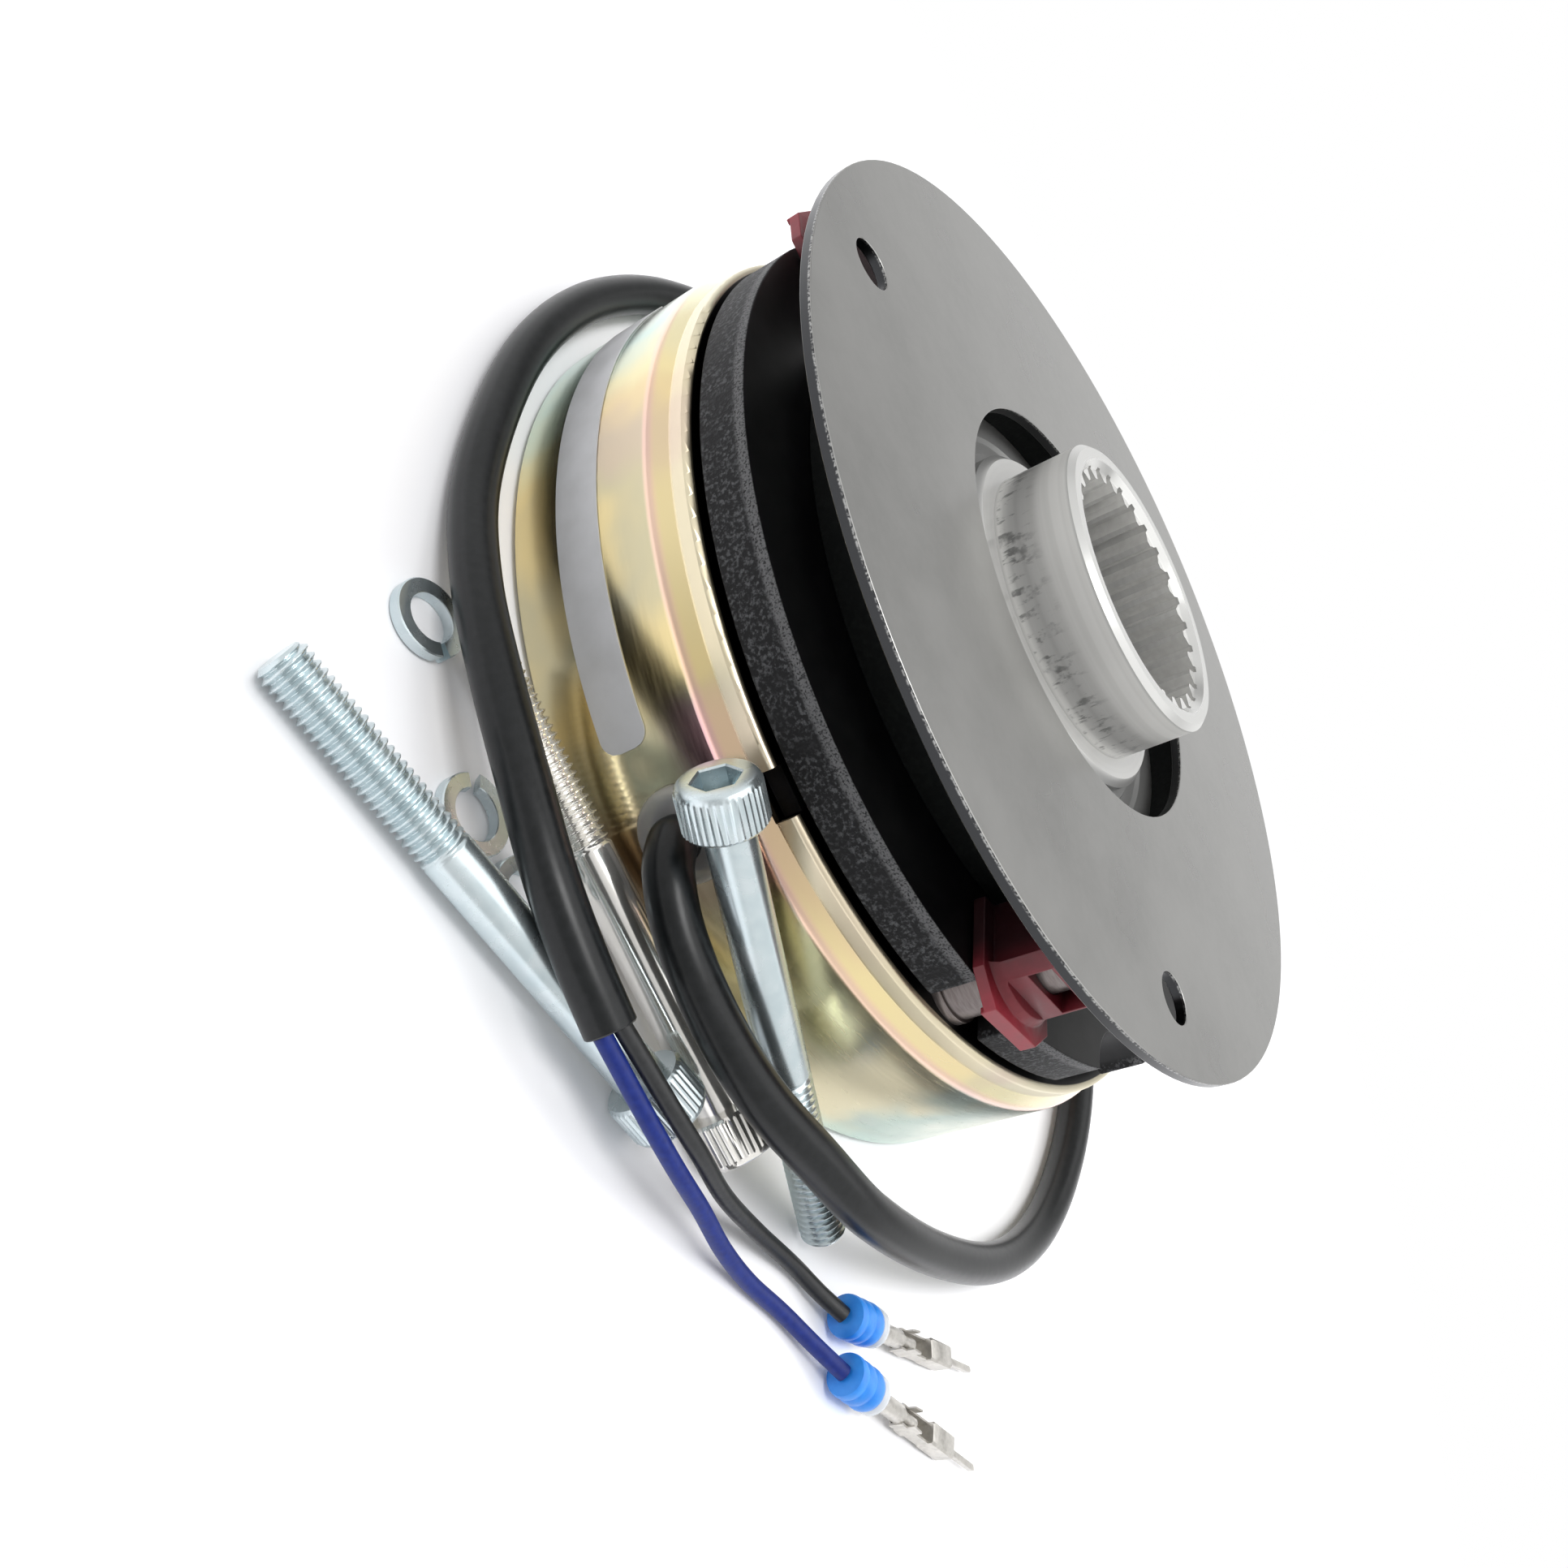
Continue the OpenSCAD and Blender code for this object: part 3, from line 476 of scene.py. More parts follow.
SHOULDER_Z, LIP_Z, SHADE_BLACK_R = 22.4 * MM, 25.0 * MM, 63.3 * MM
SHADE_BLACK_LOW, SHADE_BLACK_HIGH = 3.0 * MM, 4.0 * MM
ARC_LOW, ARC_HIGH, BLUSH_LOW, BLUSH_HIGH = 15.5 * MM, 20.5 * MM, 17.5 * MM, 21.5 * MM
FOOT_LOW, FOOT_HIGH = 1.2 * MM, 4.5 * MM
GOLD, STRAW, PINK = (0.78, 0.64, 0.33), (0.79, 0.71, 0.42), (0.72, 0.49, 0.42)
UMBER, MAUVE, GREEN = (0.52, 0.40, 0.27), (0.60, 0.42, 0.40), (0.68, 0.73, 0.56)
SEA, PALE, OLIVE = (0.56, 0.72, 0.64), (0.68, 0.72, 0.62), (0.56, 0.51, 0.34)
GREY_GREEN = (0.42, 0.52, 0.46)
KHAKI, ROSE, AMBER = (0.72, 0.65, 0.45), (0.82, 0.46, 0.52), (0.92, 0.74, 0.38)
HIGHLIGHT_SALMON, STONE, SHADE_BLACK = (0.84, 0.54, 0.46), (0.70, 0.65, 0.52), (0.005, 0.005, 0.005)
FILM_STOPS = [
    (0.00, PALE), (0.05, PALE), (0.08, SEA), (0.105, GREEN), (0.13, STRAW), (0.15, GOLD),
    (0.18, OLIVE), (0.21, GOLD), (0.24, OLIVE), (0.285, UMBER), (0.32, STRAW), (0.36, KHAKI),
    (0.39, KHAKI), (0.415, GREY_GREEN), (0.45, PALE), (0.53, STRAW), (0.60, PINK), (0.66, GOLD),
    (0.74, GREEN), (0.80, STRAW), (0.87, PINK), (0.94, GOLD), (0.985, SEA)]
zinc_yellow = new_material("yellow chromate", GOLD, 0.16, 1.0)
tree = zinc_yellow.node_tree
bsdf = tree.nodes["Principled BSDF"]
pot = group_node(tree, around)
rise, reach = pot.outputs["Height"], pot.outputs["Radius"]
cloud = noise(tree, drawn_out(tree, pot.outputs["Unrolled"], 22), 2.2, 3.0)
drift = add(tree, "Math", {"operation": "MULTIPLY_ADD"}, n0=cloud, n1=0.16, n2=-0.08).outputs[0]
turn = combined(tree, "ADD", pot.outputs["Turn"], drift)
# The film's tint runs round the pot. Over it come a mauve arc under the shoulder, a rose blush
# beside the lead slot, amber on the shoulder's slope, a painted salmon highlight on its edge,
# stone grey on the lip, sea-green at the foot, mauve clouds and painted near-black shade inside.
film = ramp(tree, turn, FILM_STOPS)
arc = combined(tree, "MULTIPLY", band(tree, turn, 0.215, 0.24), band(tree, turn, 0.29, 0.265))
arc = combined(tree, "MULTIPLY", arc, band(tree, rise, ARC_LOW, ARC_HIGH, 0.9))
film = blended(tree, arc, film, MAUVE)
blush = combined(tree, "MULTIPLY", band(tree, turn, 0.222, 0.256), band(tree, turn, 0.325, 0.275))
blush = combined(tree, "MULTIPLY", blush, band(tree, rise, BLUSH_LOW, BLUSH_HIGH, 0.65))
film = blended(tree, blush, film, ROSE)
film = blended(tree, band(tree, rise, SHOULDER_Z, SHOULDER_Z + 0.8 * MM, 0.6), film, AMBER)
# Painted highlight: a salmon band along the shoulder's rounded edge.
painted_edge_highlight = combined(tree, "MULTIPLY", band(tree, rise, SHOULDER_Z - 0.7 * MM, SHOULDER_Z - 0.1 * MM),
                   band(tree, rise, SHOULDER_Z + 1.2 * MM, SHOULDER_Z + 0.2 * MM, 0.65))
film = blended(tree, painted_edge_highlight, film, HIGHLIGHT_SALMON)
film = blended(tree, band(tree, rise, LIP_Z - 0.2 * MM, LIP_Z + 0.4 * MM, 0.7), film, STONE)
foot = combined(tree, "MULTIPLY", band(tree, rise, FOOT_HIGH, FOOT_LOW, 0.6),
                band(tree, turn, 0.28, 0.34))
film = blended(tree, foot, film, SEA)
film = blended(tree, band(tree, cloud, 0.58, 0.72, 0.35), film, MAUVE)
# Painted shade: the pole face and the slot's inside, shaded under the armature, are painted near
# black.
painted_shade_inside = combined(tree, "MULTIPLY", band(tree, reach, SHADE_BLACK_R, SHADE_BLACK_R - 0.2 * MM),
                  band(tree, rise, SHADE_BLACK_LOW, SHADE_BLACK_HIGH))
tree.links.new(blended(tree, painted_shade_inside, film, SHADE_BLACK), bsdf.inputs["Base Color"])
grain = noise(tree, drawn_out(tree, pot.outputs["Unrolled"], 160), 14.0, 3.0)
satin = combined(tree, "ADD", spread(tree, grain, 0.3, 0.7, 0.15, 0.20),
                 band(tree, pot.outputs["Turn"], 0.27, 0.33, 0.08))
satin = combined(tree, "ADD", satin, band(tree, rise, LIP_Z - 0.2 * MM, LIP_Z + 0.4 * MM, 0.14))
tree.links.new(satin, bsdf.inputs["Roughness"])
tree.links.new(add(tree, "Bump", Height=grain, Distance=0.000002, Strength=1.0).outputs[0],
               bsdf.inputs["Normal"])
dress("magnet_housing", zinc_yellow)

# ---- Coil, potting and pressure springs ---------------------------------------------------
# A wound plastic bobbin fills the pot's groove under black resin, which also fills the lead
# slot. Six steel compression springs stand in blind pockets and push the armature away.
POCKET_Z, SPRING_CIRCLE, SPRING_COUNT = 15.7, 28.0, 6
SPRING_R, SPRING_WIRE, SPRING_SPAN, SPRING_TURNS = 2.5, 1.0, 11.8, 5
SPRING_FOOT = POCKET_Z + 0.1
bobbin_pbt = mottled("bobbin plastic", (0.60, 0.55, 0.44), (0.70, 0.65, 0.54), (0.4, 0.5), 500,
                     0.00001)
copper = mottled("enamelled copper", (0.45, 0.16, 0.05), (0.68, 0.28, 0.11), (0.25, 0.35), 2200,
                 0.00012, stretch=(0.02, 0.02, 1), metallic=1.0)
resin = mottled("potting resin", (0.002, 0.002, 0.002), (0.004, 0.004, 0.005), (0.45, 0.60), 260,
                0.00006, Specular_IOR_Level=0.08)
spring_wire = mottled("spring steel", (0.28, 0.29, 0.31), (0.42, 0.43, 0.45), (0.25, 0.35), 1500,
                      0.00001, metallic=1.0)
dress("coil_bobbin", bobbin_pbt)
dress("coil_winding", copper)
dress("coil_potting", resin)
closed = 1.1 * SPRING_WIRE
pitch = (SPRING_SPAN - 2 * closed) / (SPRING_TURNS - 2)
t = np.linspace(0, SPRING_TURNS, SPRING_TURNS * 30 + 1)
climb = (closed * np.minimum(t, 1) + pitch * np.clip(t - 1, 0, SPRING_TURNS - 2)
         + closed * np.clip(t - SPRING_TURNS + 1, 0, 1))
coil = np.stack([SPRING_R * np.cos(2 * np.pi * t), SPRING_R * np.sin(2 * np.pi * t), climb], 1)
springs = []
for place_angle in 2 * np.pi * np.arange(SPRING_COUNT) / SPRING_COUNT:
    across = np.array([math.cos(place_angle), math.sin(place_angle), 0]) * SPRING_CIRCLE
    path = (coil + across + [0, 0, SPRING_FOOT + SPRING_WIRE / 2]) * MM
    springs.append(shell(tube_rings(path, SPRING_WIRE / 2 * MM, 12)))
pressure_springs = new_piece("pressure_springs_wound", springs, spring_wire)
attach(pressure_springs, "magnet")
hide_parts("pressure_springs")
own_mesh(pressure_springs)

# ---- Grommet ------------------------------------------------------------------------------
# Clear soft plastic bush pressed into the pot's wall; the cable leaves through it.
grommet_clear = new_material("clear grommet", (0.80, 0.80, 0.80), 0.22, Transmission_Weight=0.65,
                             IOR=1.45)
grommet_profile = [(50.1, 2.5), (50.1, 4.4), (64.9, 4.4), (65.0, 4.6), (65.0, 5.8), (65.2, 6.0),
                   (66.3, 6.0), (66.8, 5.9), (67.2, 5.6), (67.45, 5.2), (67.5, 4.8), (67.5, 2.9)]
grommet_rings = placed(turned_rings(grommet_profile, 48), turned_frame(LEAD_ANGLE, 0),
                       np.array([0, 0, GROMMET_Z * MM]))
grommet = new_piece("grommet_moulded", [shell(grommet_rings)], grommet_clear)
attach(grommet, "magnet")
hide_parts("cable_grommet")

# ---- Label --------------------------------------------------------------------------------
# Bare satin foil with rounded ends, glued round the pot to the left of the cable.
LABEL_R, LABEL_T = 65.52, 0.15
LABEL_H, LABEL_Z, LABEL_CORNER = 6.6, 11.4, 2.2
LABEL_FROM, LABEL_ARC = math.radians(-165), math.radians(70)
LABEL_L = LABEL_R * LABEL_ARC
label_foil = mottled("label foil", (0.54, 0.545, 0.555), (0.59, 0.595, 0.61), (0.36, 0.44), 220,
                     metallic=0.1)
along = np.concatenate([np.linspace(0, LABEL_CORNER, 12),
                        np.linspace(LABEL_CORNER, LABEL_L - LABEL_CORNER, 90)[1:-1],
                        LABEL_L - np.linspace(LABEL_CORNER, 0, 12)])
inset = np.clip(LABEL_CORNER - np.minimum(along, LABEL_L - along), 0, LABEL_CORNER)
half = LABEL_H / 2 - LABEL_CORNER + np.sqrt(LABEL_CORNER**2 - inset**2)
a = LABEL_FROM + along / LABEL_R
corners = [(LABEL_R, -1), (LABEL_R + LABEL_T, -1), (LABEL_R + LABEL_T, 1), (LABEL_R, 1)]
label_rings = np.stack([np.stack([r * np.cos(a), r * np.sin(a), LABEL_Z + side * half], 1)
                        for r, side in corners], 1) * MM
label = new_piece("label_foil_bare", [shell(label_rings)], label_foil)
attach(label, "magnet")
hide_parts("label_strip")

# ---- Spacer sleeves and their clips -------------------------------------------------------
# Turned steel sleeves stand on the pole face in the armature's notches. A dark red moulded
# clip grips each one; its foot lies over the armature and a tab hangs over the rim. Painted
# shade darkens the clip's inner side, towards the axis.
def rounded_copy(name, node, width, material, angle=40):
    """A copy of a CAD node with its flat faces joined up and its edges rounded by the width."""
    mesh = bpy.data.meshes.new(name)
    work = bmesh.new()
    work.from_mesh(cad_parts[node].data)
    bmesh.ops.remove_doubles(work, verts=work.verts, dist=1e-6)
    bmesh.ops.dissolve_limit(work, angle_limit=math.radians(1), verts=work.verts, edges=work.edges)
    work.to_mesh(mesh)
    work.free()
    mesh.shade_smooth()
    mesh.set_sharp_from_angle(angle=math.radians(angle))
    mesh.materials.clear()
    mesh.materials.append(material)
    piece = bpy.data.objects.new(name, mesh)
    bpy.context.scene.collection.objects.link(piece)
    bevel = piece.modifiers.new("rounding", "BEVEL")
    bevel.width = width
    bevel.segments = 2
    bevel.limit_method = "ANGLE"
    bevel.angle_limit = math.radians(angle)
    bevel.harden_normals = True
    return piece


SHADE_FROM, SHADE_FULL = 66.5 * MM, 58.5 * MM
sleeve_steel = mottled("sleeve steel", (0.16, 0.135, 0.128), (0.24, 0.212, 0.204), (0.34, 0.46),
                       500, 0.00001, stretch=(1, 1, 6), metallic=0.85)
clip_nylon = mottled("red nylon", (0.235, 0.017, 0.028), (0.29, 0.024, 0.039), (0.34, 0.44), 600,
                     0.00001)
tree = clip_nylon.node_tree
colour_in = tree.nodes["Principled BSDF"].inputs["Base Color"]
# Painted shade: the clip darkens towards the axis, where it lies in shade under the plate.
painted_shade = band(tree, group_node(tree, around).outputs["Radius"], SHADE_FROM, SHADE_FULL, 0.92)
shaded_red = blended(tree, painted_shade, colour_in.links[0].from_socket, (0.010, 0.006, 0.007))
tree.links.new(shaded_red, colour_in)
for number in (1, 2, 3):
    dress(f"spacer_sleeve_{number}", sleeve_steel)
    clip = rounded_copy(f"clip_moulded_{number}", f"retaining_clip_{number}", 0.00018, clip_nylon)
    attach(clip, "magnet")
    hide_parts(f"retaining_clip_{number}")

# ---- Armature plate -----------------------------------------------------------------------
# Cut from thick steel plate and blackened. Its rim keeps the coarse, mottled mark of the cut,
# paler in specks along the upper edge; the faces are smooth.
ARMATURE_LOW, ARMATURE_TOP = 28.7 * MM, 35.4 * MM
RIM_FROM, RIM_FULL, PALE_FROM, PALE_FULL = 61.2 * MM, 62.2 * MM, 1.9 * MM, 1.1 * MM
blackened = new_material("blackened steel", (0.02, 0.02, 0.022), 0.42, 0.5)
tree = blackened.node_tree
bsdf = tree.nodes["Principled BSDF"]
rim = group_node(tree, around)
rise, reach = rim.outputs["Height"], rim.outputs["Radius"]
here = add(tree, "TexCoord").outputs["Object"]
spot = noise(tree, here, 1800.0, 3.0, 0.65)
grit = noise(tree, here, 3800.0, 3.0)
patch = noise(tree, here, 210.0, 4.0)
under_top = band(tree, rise, ARMATURE_TOP - 0.01 * MM, ARMATURE_TOP - 0.1 * MM)
over_low = band(tree, rise, ARMATURE_LOW + 0.01 * MM, ARMATURE_LOW + 0.1 * MM)
cut = combined(tree, "MULTIPLY", combined(tree, "MULTIPLY", under_top, over_low),
               band(tree, reach, RIM_FROM, RIM_FULL))
upper_edge_band = combined(tree, "MULTIPLY", cut,
                band(tree, rise, ARMATURE_TOP - PALE_FROM, ARMATURE_TOP - PALE_FULL))
speckle = combined(tree, "MULTIPLY", band(tree, spot, 0.46, 0.68), band(tree, patch, 0.25, 0.55))
rim_colour = blended(tree, speckle, (0.006, 0.006, 0.007), (0.085, 0.087, 0.091))
# Paler specks along the upper edge of the rim.
paler_specks = combined(tree, "MULTIPLY", upper_edge_band, band(tree, grit, 0.34, 0.56, 0.85))
rim_colour = blended(tree, paler_specks, rim_colour, (0.145, 0.145, 0.148))
face = blended(tree, band(tree, patch, 0.4, 0.7), (0.007, 0.007, 0.008), (0.013, 0.013, 0.014))
tree.links.new(blended(tree, cut, face, rim_colour), bsdf.inputs["Base Color"])
tree.links.new(spread(tree, cut, 0.0, 1.0, 0.42, 0.62), bsdf.inputs["Roughness"])
tree.links.new(add(tree, "Bump", Height=combined(tree, "MULTIPLY", spot, cut), Distance=0.00012,
                   Strength=1.0).outputs[0], bsdf.inputs["Normal"])
armature = rounded_copy("armature_blackened", "armature_plate", 0.00025, blackened, 50)
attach(armature, "armature")
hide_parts("armature_plate")

# ---- Rotor --------------------------------------------------------------------------------
# Aluminium hub and carrier disc turned in one piece, the inside broached with 28 teeth. Dark
# rubbed marks run up the hub from its foot. A friction lining is bonded to each side.
HUB_FOOT = 42.35 * MM
CARRIER_Z, COLLAR_Z, SCUFF_LOW, SCUFF_HIGH = 0.1 * MM, 3.0 * MM, 3.8 * MM, 10.5 * MM
SCUFF_R, BORE_R, RIM_Z = 19.6 * MM, 19.4 * MM, 56.4 * MM
hub_aluminium = new_material("turned aluminium", (0.70, 0.70, 0.70), 0.34, 0.55)
tree = hub_aluminium.node_tree
bsdf = tree.nodes["Principled BSDF"]
hub = group_node(tree, around)
rise, reach = hub.outputs["Height"], hub.outputs["Radius"]
turned = noise(tree, add(tree, "CombineXYZ", X=reach, Z=rise).outputs[0], 900.0, 2.0)
streak = noise(tree, drawn_out(tree, hub.outputs["Unrolled"], 14), 14.0, 5.0, 0.65)
fleck = noise(tree, add(tree, "TexCoord").outputs["Object"], 700.0, 5.0)
low = combined(tree, "MULTIPLY", band(tree, rise, HUB_FOOT + SCUFF_HIGH, HUB_FOOT + 5.5 * MM),
               band(tree, rise, HUB_FOOT + SCUFF_LOW, HUB_FOOT + SCUFF_LOW + 0.3 * MM))
low = combined(tree, "MULTIPLY", low, band(tree, reach, SCUFF_R, SCUFF_R + 0.4 * MM))
dark = combined(tree, "MULTIPLY", band(tree, streak, 0.50, 0.58), low)
dark = combined(tree, "MULTIPLY", dark, band(tree, fleck, 0.35, 0.60, 0.7))
bright = blended(tree, band(tree, turned, 0.35, 0.65), (0.73, 0.725, 0.705), (0.79, 0.785, 0.765))
# Painted shade greys the collar and the carrier disc down in the plate's bore; the hub's top ring
# is greyer metal.
for start, full, shade in (
        (HUB_FOOT + COLLAR_Z + 1.2 * MM, HUB_FOOT + COLLAR_Z, (0.36, 0.36, 0.353)),
        (HUB_FOOT + CARRIER_Z + 0.2 * MM, HUB_FOOT + CARRIER_Z, (0.29, 0.29, 0.285)),
        (RIM_Z, RIM_Z + 0.5 * MM, (0.58, 0.58, 0.565))):
    bright = blended(tree, band(tree, rise, start, full), bright, shade)
tree.links.new(blended(tree, dark, bright, (0.13, 0.13, 0.13)), bsdf.inputs["Base Color"])
satin = spread(tree, turned, 0.3, 0.7, 0.31, 0.37)
bore = band(tree, reach, BORE_R, BORE_R - 0.4 * MM)
tree.links.new(add(tree, "Mix", {"data_type": "FLOAT"}, n0=bore, n2=satin, n3=0.2).outputs[0],
               bsdf.inputs["Roughness"])
dress("rotor_hub", hub_aluminium)
friction = mottled("friction lining", (0.003, 0.004, 0.004), (0.011, 0.013, 0.012), (0.75, 0.90),
                   1100, 0.00006, limits=(0.45, 0.72), Specular_IOR_Level=0.2)
dress("lining_lower", friction)
dress("lining_upper", friction)

# ---- Flange plate -------------------------------------------------------------------------
# Punched from 1.5 mm sheet steel, satin grey. The punch left its rim bright and dotted along
# the upper edge; below that the rim is smooth and painted dark as painted shade.
PLATE_TOP = 48.6 * MM
TEAR_FROM, TEAR_FULL = 0.45 * MM, 0.25 * MM
plate_steel = new_material("sheet steel", (0.25, 0.25, 0.25), 0.42, 1.0)
tree = plate_steel.node_tree
bsdf = tree.nodes["Principled BSDF"]
here = add(tree, "TexCoord")
haze = noise(tree, here.outputs["Object"], 38.0, 3.0, 0.6)
fine = noise(tree, here.outputs["Object"], 750.0, 2.0)
grit = noise(tree, here.outputs["Object"], 2800.0, 4.0)
face = blended(tree, band(tree, haze, 0.3, 0.7), (0.35, 0.348, 0.336), (0.41, 0.407, 0.394))
face = blended(tree, band(tree, fine, 0.35, 0.68, 0.16), face, (0.45, 0.448, 0.434))
facing = add(tree, "SeparateXYZ", Vector=here.outputs["Normal"])
flatness = add(tree, "Math", {"operation": "ABSOLUTE"}, n0=facing.outputs["Z"]).outputs[0]
rise = group_node(tree, around).outputs["Height"]
torn = combined(tree, "MULTIPLY", band(tree, rise, PLATE_TOP - TEAR_FROM, PLATE_TOP - TEAR_FULL),
                band(tree, grit, 0.40, 0.64))
# Painted shade: below its dotted upper edge the rim is painted near black.
rim_with_painted_shade = blended(tree, torn, (0.045, 0.046, 0.048), (0.34, 0.34, 0.33))
shade = blended(tree, band(tree, flatness, 0.75, 0.35), face, rim_with_painted_shade)
tree.links.new(shade, bsdf.inputs["Base Color"])
tree.links.new(spread(tree, haze, 0.3, 0.7, 0.26, 0.32), bsdf.inputs["Roughness"])
plate = rounded_copy("flange_plate_punched", "flange_plate", 0.00015, plate_steel, 50)
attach(plate, "plate")
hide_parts("flange_plate")

# ---- Loose screws -------------------------------------------------------------------------
# Three M6 x 60 socket head cap screws, bright blue-passivated zinc: rolled thread of 1 mm
# pitch on the last 26 mm, plain shank, knurled head with a hexagon socket.
SCREW_R, THREAD_L, SCREW_L, PITCH, THREAD_DEPTH = 3.0, 26.0, 60.0, 1.0, 0.56
HEAD_R, HEAD_H, SOCKET_AF, SOCKET_DEPTH, KNURLS = 5.0, 6.0, 5.0, 3.0, 42
LYING = math.asin((HEAD_R - SCREW_R) / SCREW_L)
# Each screw: x and y of its tip, its heading in degrees and its slope.
LOOSE_SCREWS = [(59.5, -54.9, 198.2, math.radians(21)), (-22.6, -71.4, 3.6, LYING),
                (-26.6, -101.9, 22.6, LYING)]


def threaded_rings(cols):
    """Shank of a screw from its tip: the radius falls by the thread's depth in a 60 degree
    groove that goes round once a pitch, and the tip is chamfered."""
    z = np.concatenate([np.arange(0, THREAD_L + 2, PITCH / 12), [THREAD_L + 2.2, SCREW_L + 0.5]])
    z = z[:, None]
    a = 2 * np.pi * np.arange(cols)[None, :] / cols
    wave = np.abs(2 * ((z / PITCH - a / (2 * np.pi)) % 1) - 1)
    groove = np.clip(1.3 * wave - 0.17, 0, 1) * np.clip((THREAD_L - z) / 1.2, 0, 1)
    r = np.minimum(SCREW_R - 0.03 - THREAD_DEPTH * groove, 2.25 + z)
    return np.stack(np.broadcast_arrays(r * np.cos(a), r * np.sin(a), z), -1)


def head_rings(cols):
    """Head of a screw from its seat: the side is knurled by a triangle wave round the rim, the
    top runs in to a socket whose hexagon is apothem / cos(angle from the nearest flat)."""
    a = 2 * np.pi * np.arange(cols) / cols
    knurled = HEAD_R - 0.2 * np.abs(2 * ((KNURLS * a / (2 * np.pi)) % 1) - 1)
    flat = (a + np.pi / 6) % (np.pi / 3) - np.pi / 6
    hexagon = SOCKET_AF / 2 / np.cos(flat)
    rows = [(0, 3.1), (0, 4.6), (0.25, 4.78), (0.45, knurled), (HEAD_H - 1.0, knurled),
            (HEAD_H - 0.75, 4.85), (HEAD_H - 0.35, 4.7), (HEAD_H - 0.1, 4.45), (HEAD_H, 4.15),
            (HEAD_H, hexagon + 0.22), (HEAD_H - 0.2, hexagon), (HEAD_H - SOCKET_DEPTH, hexagon),
            (HEAD_H - SOCKET_DEPTH - 0.9, 0.25)]
    return np.stack([np.stack(np.broadcast_arrays(r * np.cos(a), r * np.sin(a), SCREW_L + z), 1)
                     for z, r in rows])


zinc_blue = mottled("bright zinc", (0.55, 0.635, 0.66), (0.63, 0.70, 0.72), (0.24, 0.29), 320,
                    metallic=0.9)
# Painted light: the middle screw takes a brighter, shinier copy of the zinc, so that it looks lit.
zinc_lit_copy = mottled("zinc painted lit", (0.88, 0.86, 0.81), (0.94, 0.92, 0.88), (0.13, 0.16), 320,
                     metallic=0.8)
for number, (x, y, heading, slope) in enumerate(LOOSE_SCREWS, 1):
    axes = turned_frame(math.radians(heading), slope)
    tip = np.array([x, y, SCREW_R * math.cos(slope) + 0.02]) * MM
    parts = [shell(placed(rings, axes, tip))
             for rings in (threaded_rings(40), head_rings(4 * KNURLS))]
    screw = new_piece(f"cap_screw_{number}", parts, zinc_lit_copy if number == 2 else zinc_blue, 30)
    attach(screw, "magnet")
    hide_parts("mounting_screws")

# ---- Loose lock washers -------------------------------------------------------------------
# Spring lock washers for the screws: square wire wound to one turn, cut at a slant, its ends
# sprung a little apart.
WASHER_OUT, WASHER_IN, WASHER_T, WASHER_SPRING = 4.95, 3.1, 1.6, 0.35
WASHER_GAP, WASHER_SLANT = 0.15, 0.09
# Each washer: x and y of its middle, and the heading of its cut in degrees.
LOOSE_WASHERS = [(-28.0, -76.3, 350), (-5.5, -82.5, 150), (5.1, -80.2, 60)]
for number, (x, y, heading) in enumerate(LOOSE_WASHERS, 1):
    t = np.linspace(WASHER_GAP, 2 * np.pi - WASHER_GAP, 73)[:, None]
    section = np.array([
        (WASHER_IN, 0.1), (WASHER_IN + 0.1, 0), (WASHER_OUT - 0.15, 0), (WASHER_OUT, 0.15),
        (WASHER_OUT, WASHER_T - 0.15), (WASHER_OUT - 0.15, WASHER_T),
        (WASHER_IN + 0.1, WASHER_T), (WASHER_IN, WASHER_T - 0.1)])
    r, z = section[None, :, 0], section[None, :, 1]
    a = t + WASHER_SLANT * (z - WASHER_T / 2) + math.radians(heading)
    height = z + 0.02 + WASHER_SPRING * np.clip(t / np.pi - 1, 0, 1) ** 2
    rings = np.stack(np.broadcast_arrays(x + r * np.cos(a), y + r * np.sin(a), height), -1) * MM
    washer = new_piece(f"lock_washer_{number}", [shell(rings[:, ::-1])], zinc_blue, 30)
    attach(washer, "magnet")
    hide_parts("lock_washers")

# ---- Table and light ----------------------------------------------------------------------
# A plain white table whose far part is pure white to the eye. The sky is brighter from one
# window side and aloft than at the horizon, and what metal mirrors has a dusky part behind. A
# large soft lamp hangs above and behind, and a small one above in front.
TABLE_NEAR, TABLE_FAR, TABLE_GLOW = 0.13, 0.30, 0.05
SKY_LIGHT, WINDOW_LIGHT, WINDOW_WAY = 0.62, 2.2, (0.35, 0.78, 0.52)
LAMPS = [("back lamp", (0.2, 0.40, 1.0), 1.3, 4.6), ("top lamp", (-0.1, -0.4, 0.9), 0.34, 3.6)]


def seen_by(tree, rays):
    """One for a ray that the eye follows: a camera, glossy or transmission ray."""
    seen = combined(tree, "MAXIMUM", rays.outputs["Is Camera Ray"], rays.outputs["Is Glossy Ray"])
    return combined(tree, "MAXIMUM", seen, rays.outputs["Is Transmission Ray"])


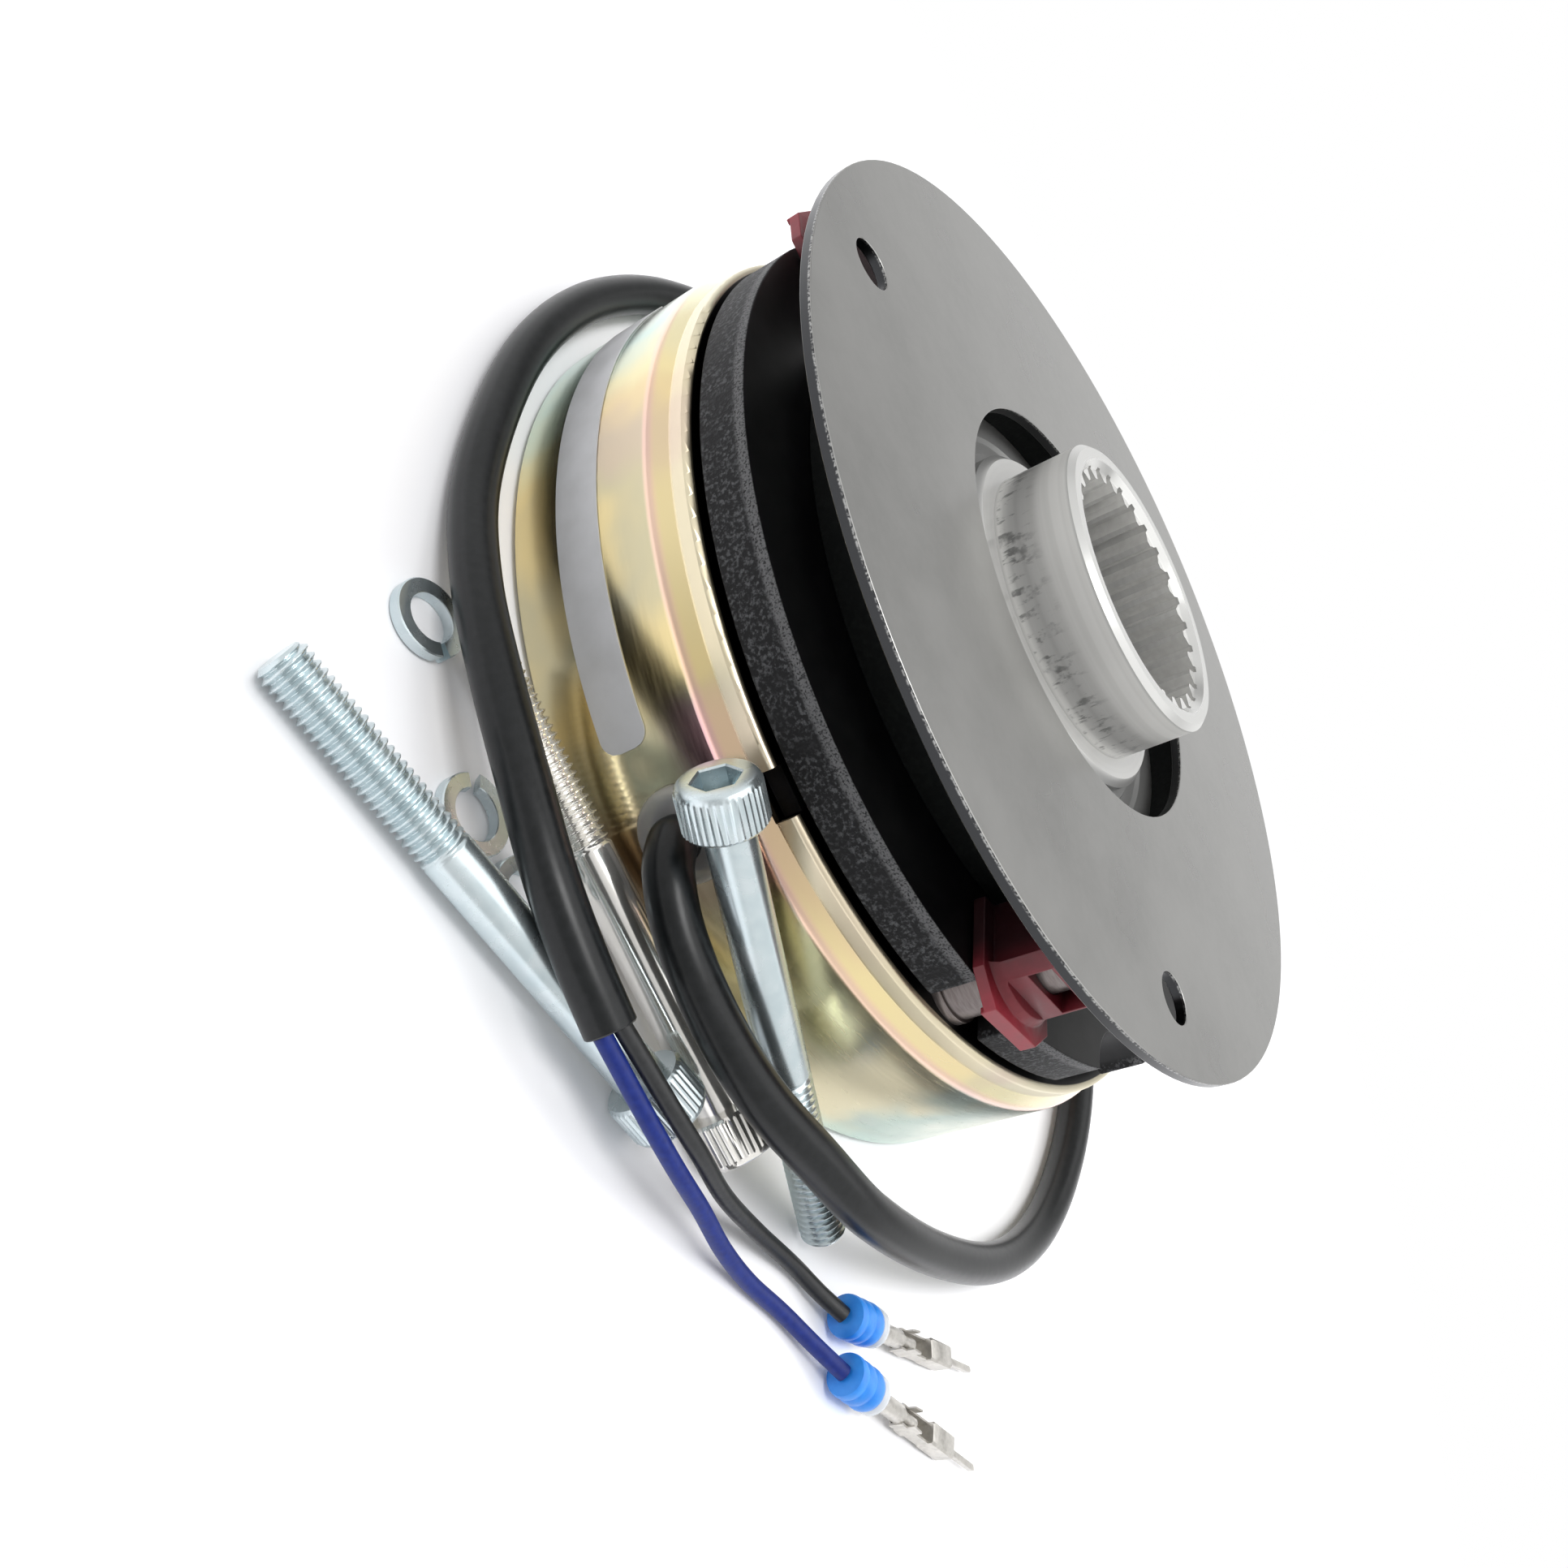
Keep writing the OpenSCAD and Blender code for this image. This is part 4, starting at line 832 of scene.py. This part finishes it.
bpy.ops.mesh.primitive_plane_add(size=6, location=(0, 0, 0))
table = bpy.context.object
table.name = "table"
table_white = new_material("white table", (0.93, 0.93, 0.95), 0.7)
tree = table_white.node_tree
bsdf = tree.nodes["Principled BSDF"]
seen = seen_by(tree, tree.nodes.new("ShaderNodeLightPath"))
far = band(tree, group_node(tree, around).outputs["Radius"], TABLE_NEAR, TABLE_FAR)
white = add(tree, "Emission", Color=(1, 1, 1, 1), Strength=1.0)
glow = add(tree, "Emission", Color=(1, 1, 1, 1),
           Strength=combined(tree, "MULTIPLY", seen, TABLE_GLOW))
near = add(tree, "AddShader", n0=bsdf.outputs[0], n1=glow.outputs[0])
mixed = add(tree, "MixShader", n0=combined(tree, "MULTIPLY", seen, far), n1=near.outputs[0],
            n2=white.outputs[0])
tree.links.new(mixed.outputs[0], tree.nodes["Material Output"].inputs["Surface"])
table.data.materials.append(table_white)
world = bpy.data.worlds.new("studio")
bpy.context.scene.world = world
world.use_nodes = True
tree = world.node_tree
rays = tree.nodes.new("ShaderNodeLightPath")
toward = add(tree, "TexCoord").outputs["Generated"]
way = add(tree, "SeparateXYZ", Vector=toward)
# What metal mirrors: a little dimmer towards -Y, dusky low behind, bright overhead.
behind = spread(tree, band(tree, way.outputs["Y"], -0.95, -0.45), 0.0, 1.0, 0.6, 1.0)
dusk = combined(tree, "MULTIPLY", band(tree, way.outputs["Y"], 0.35, 0.70),
                band(tree, way.outputs["Z"], 0.18, 0.46))
aloft = combined(tree, "MAXIMUM", spread(tree, dusk, 0.0, 1.0, 1.04, 0.22),
                 band(tree, way.outputs["Z"], 0.74, 0.90))
mirrored = combined(tree, "MULTIPLY", behind, aloft)
# What lights dull surfaces: a sky that brightens upwards, and the window.
window = add(tree, "VectorMath", {"operation": "DOT_PRODUCT"}, n0=toward,
             n1=WINDOW_WAY).outputs["Value"]
light = spread(tree, band(tree, way.outputs["Z"], 0.0, 0.45), 0.0, 1.0, 0.2, SKY_LIGHT)
light = combined(tree, "ADD", light, band(tree, window, 0.55, 0.95, WINDOW_LIGHT))
seen_sky = add(tree, "Mix", {"data_type": "FLOAT"}, n0=rays.outputs["Is Camera Ray"], n2=mirrored,
               n3=1.0)
sky = add(tree, "Mix", {"data_type": "FLOAT"}, n0=seen_by(tree, rays), n2=light,
          n3=seen_sky.outputs[0])
background = tree.nodes["Background"]
background.inputs["Color"].default_value = (1, 1, 1, 1)
tree.links.new(sky.outputs[0], background.inputs["Strength"])
for name, where, size, power in LAMPS:
    lamp = bpy.data.lights.new(name, "AREA")
    lamp.size = size
    lamp.energy = power
    lit = bpy.data.objects.new(name, lamp)
    way = unit(np.array(where))
    across = unit(np.cross([0, 0, 1], way))
    pose = np.eye(4)
    pose[:3] = np.column_stack([across, np.cross(way, across), way, where])
    lit.matrix_world = Matrix(pose.tolist())
    bpy.context.scene.collection.objects.link(lit)
bpy.context.scene.view_settings.view_transform = "Standard"
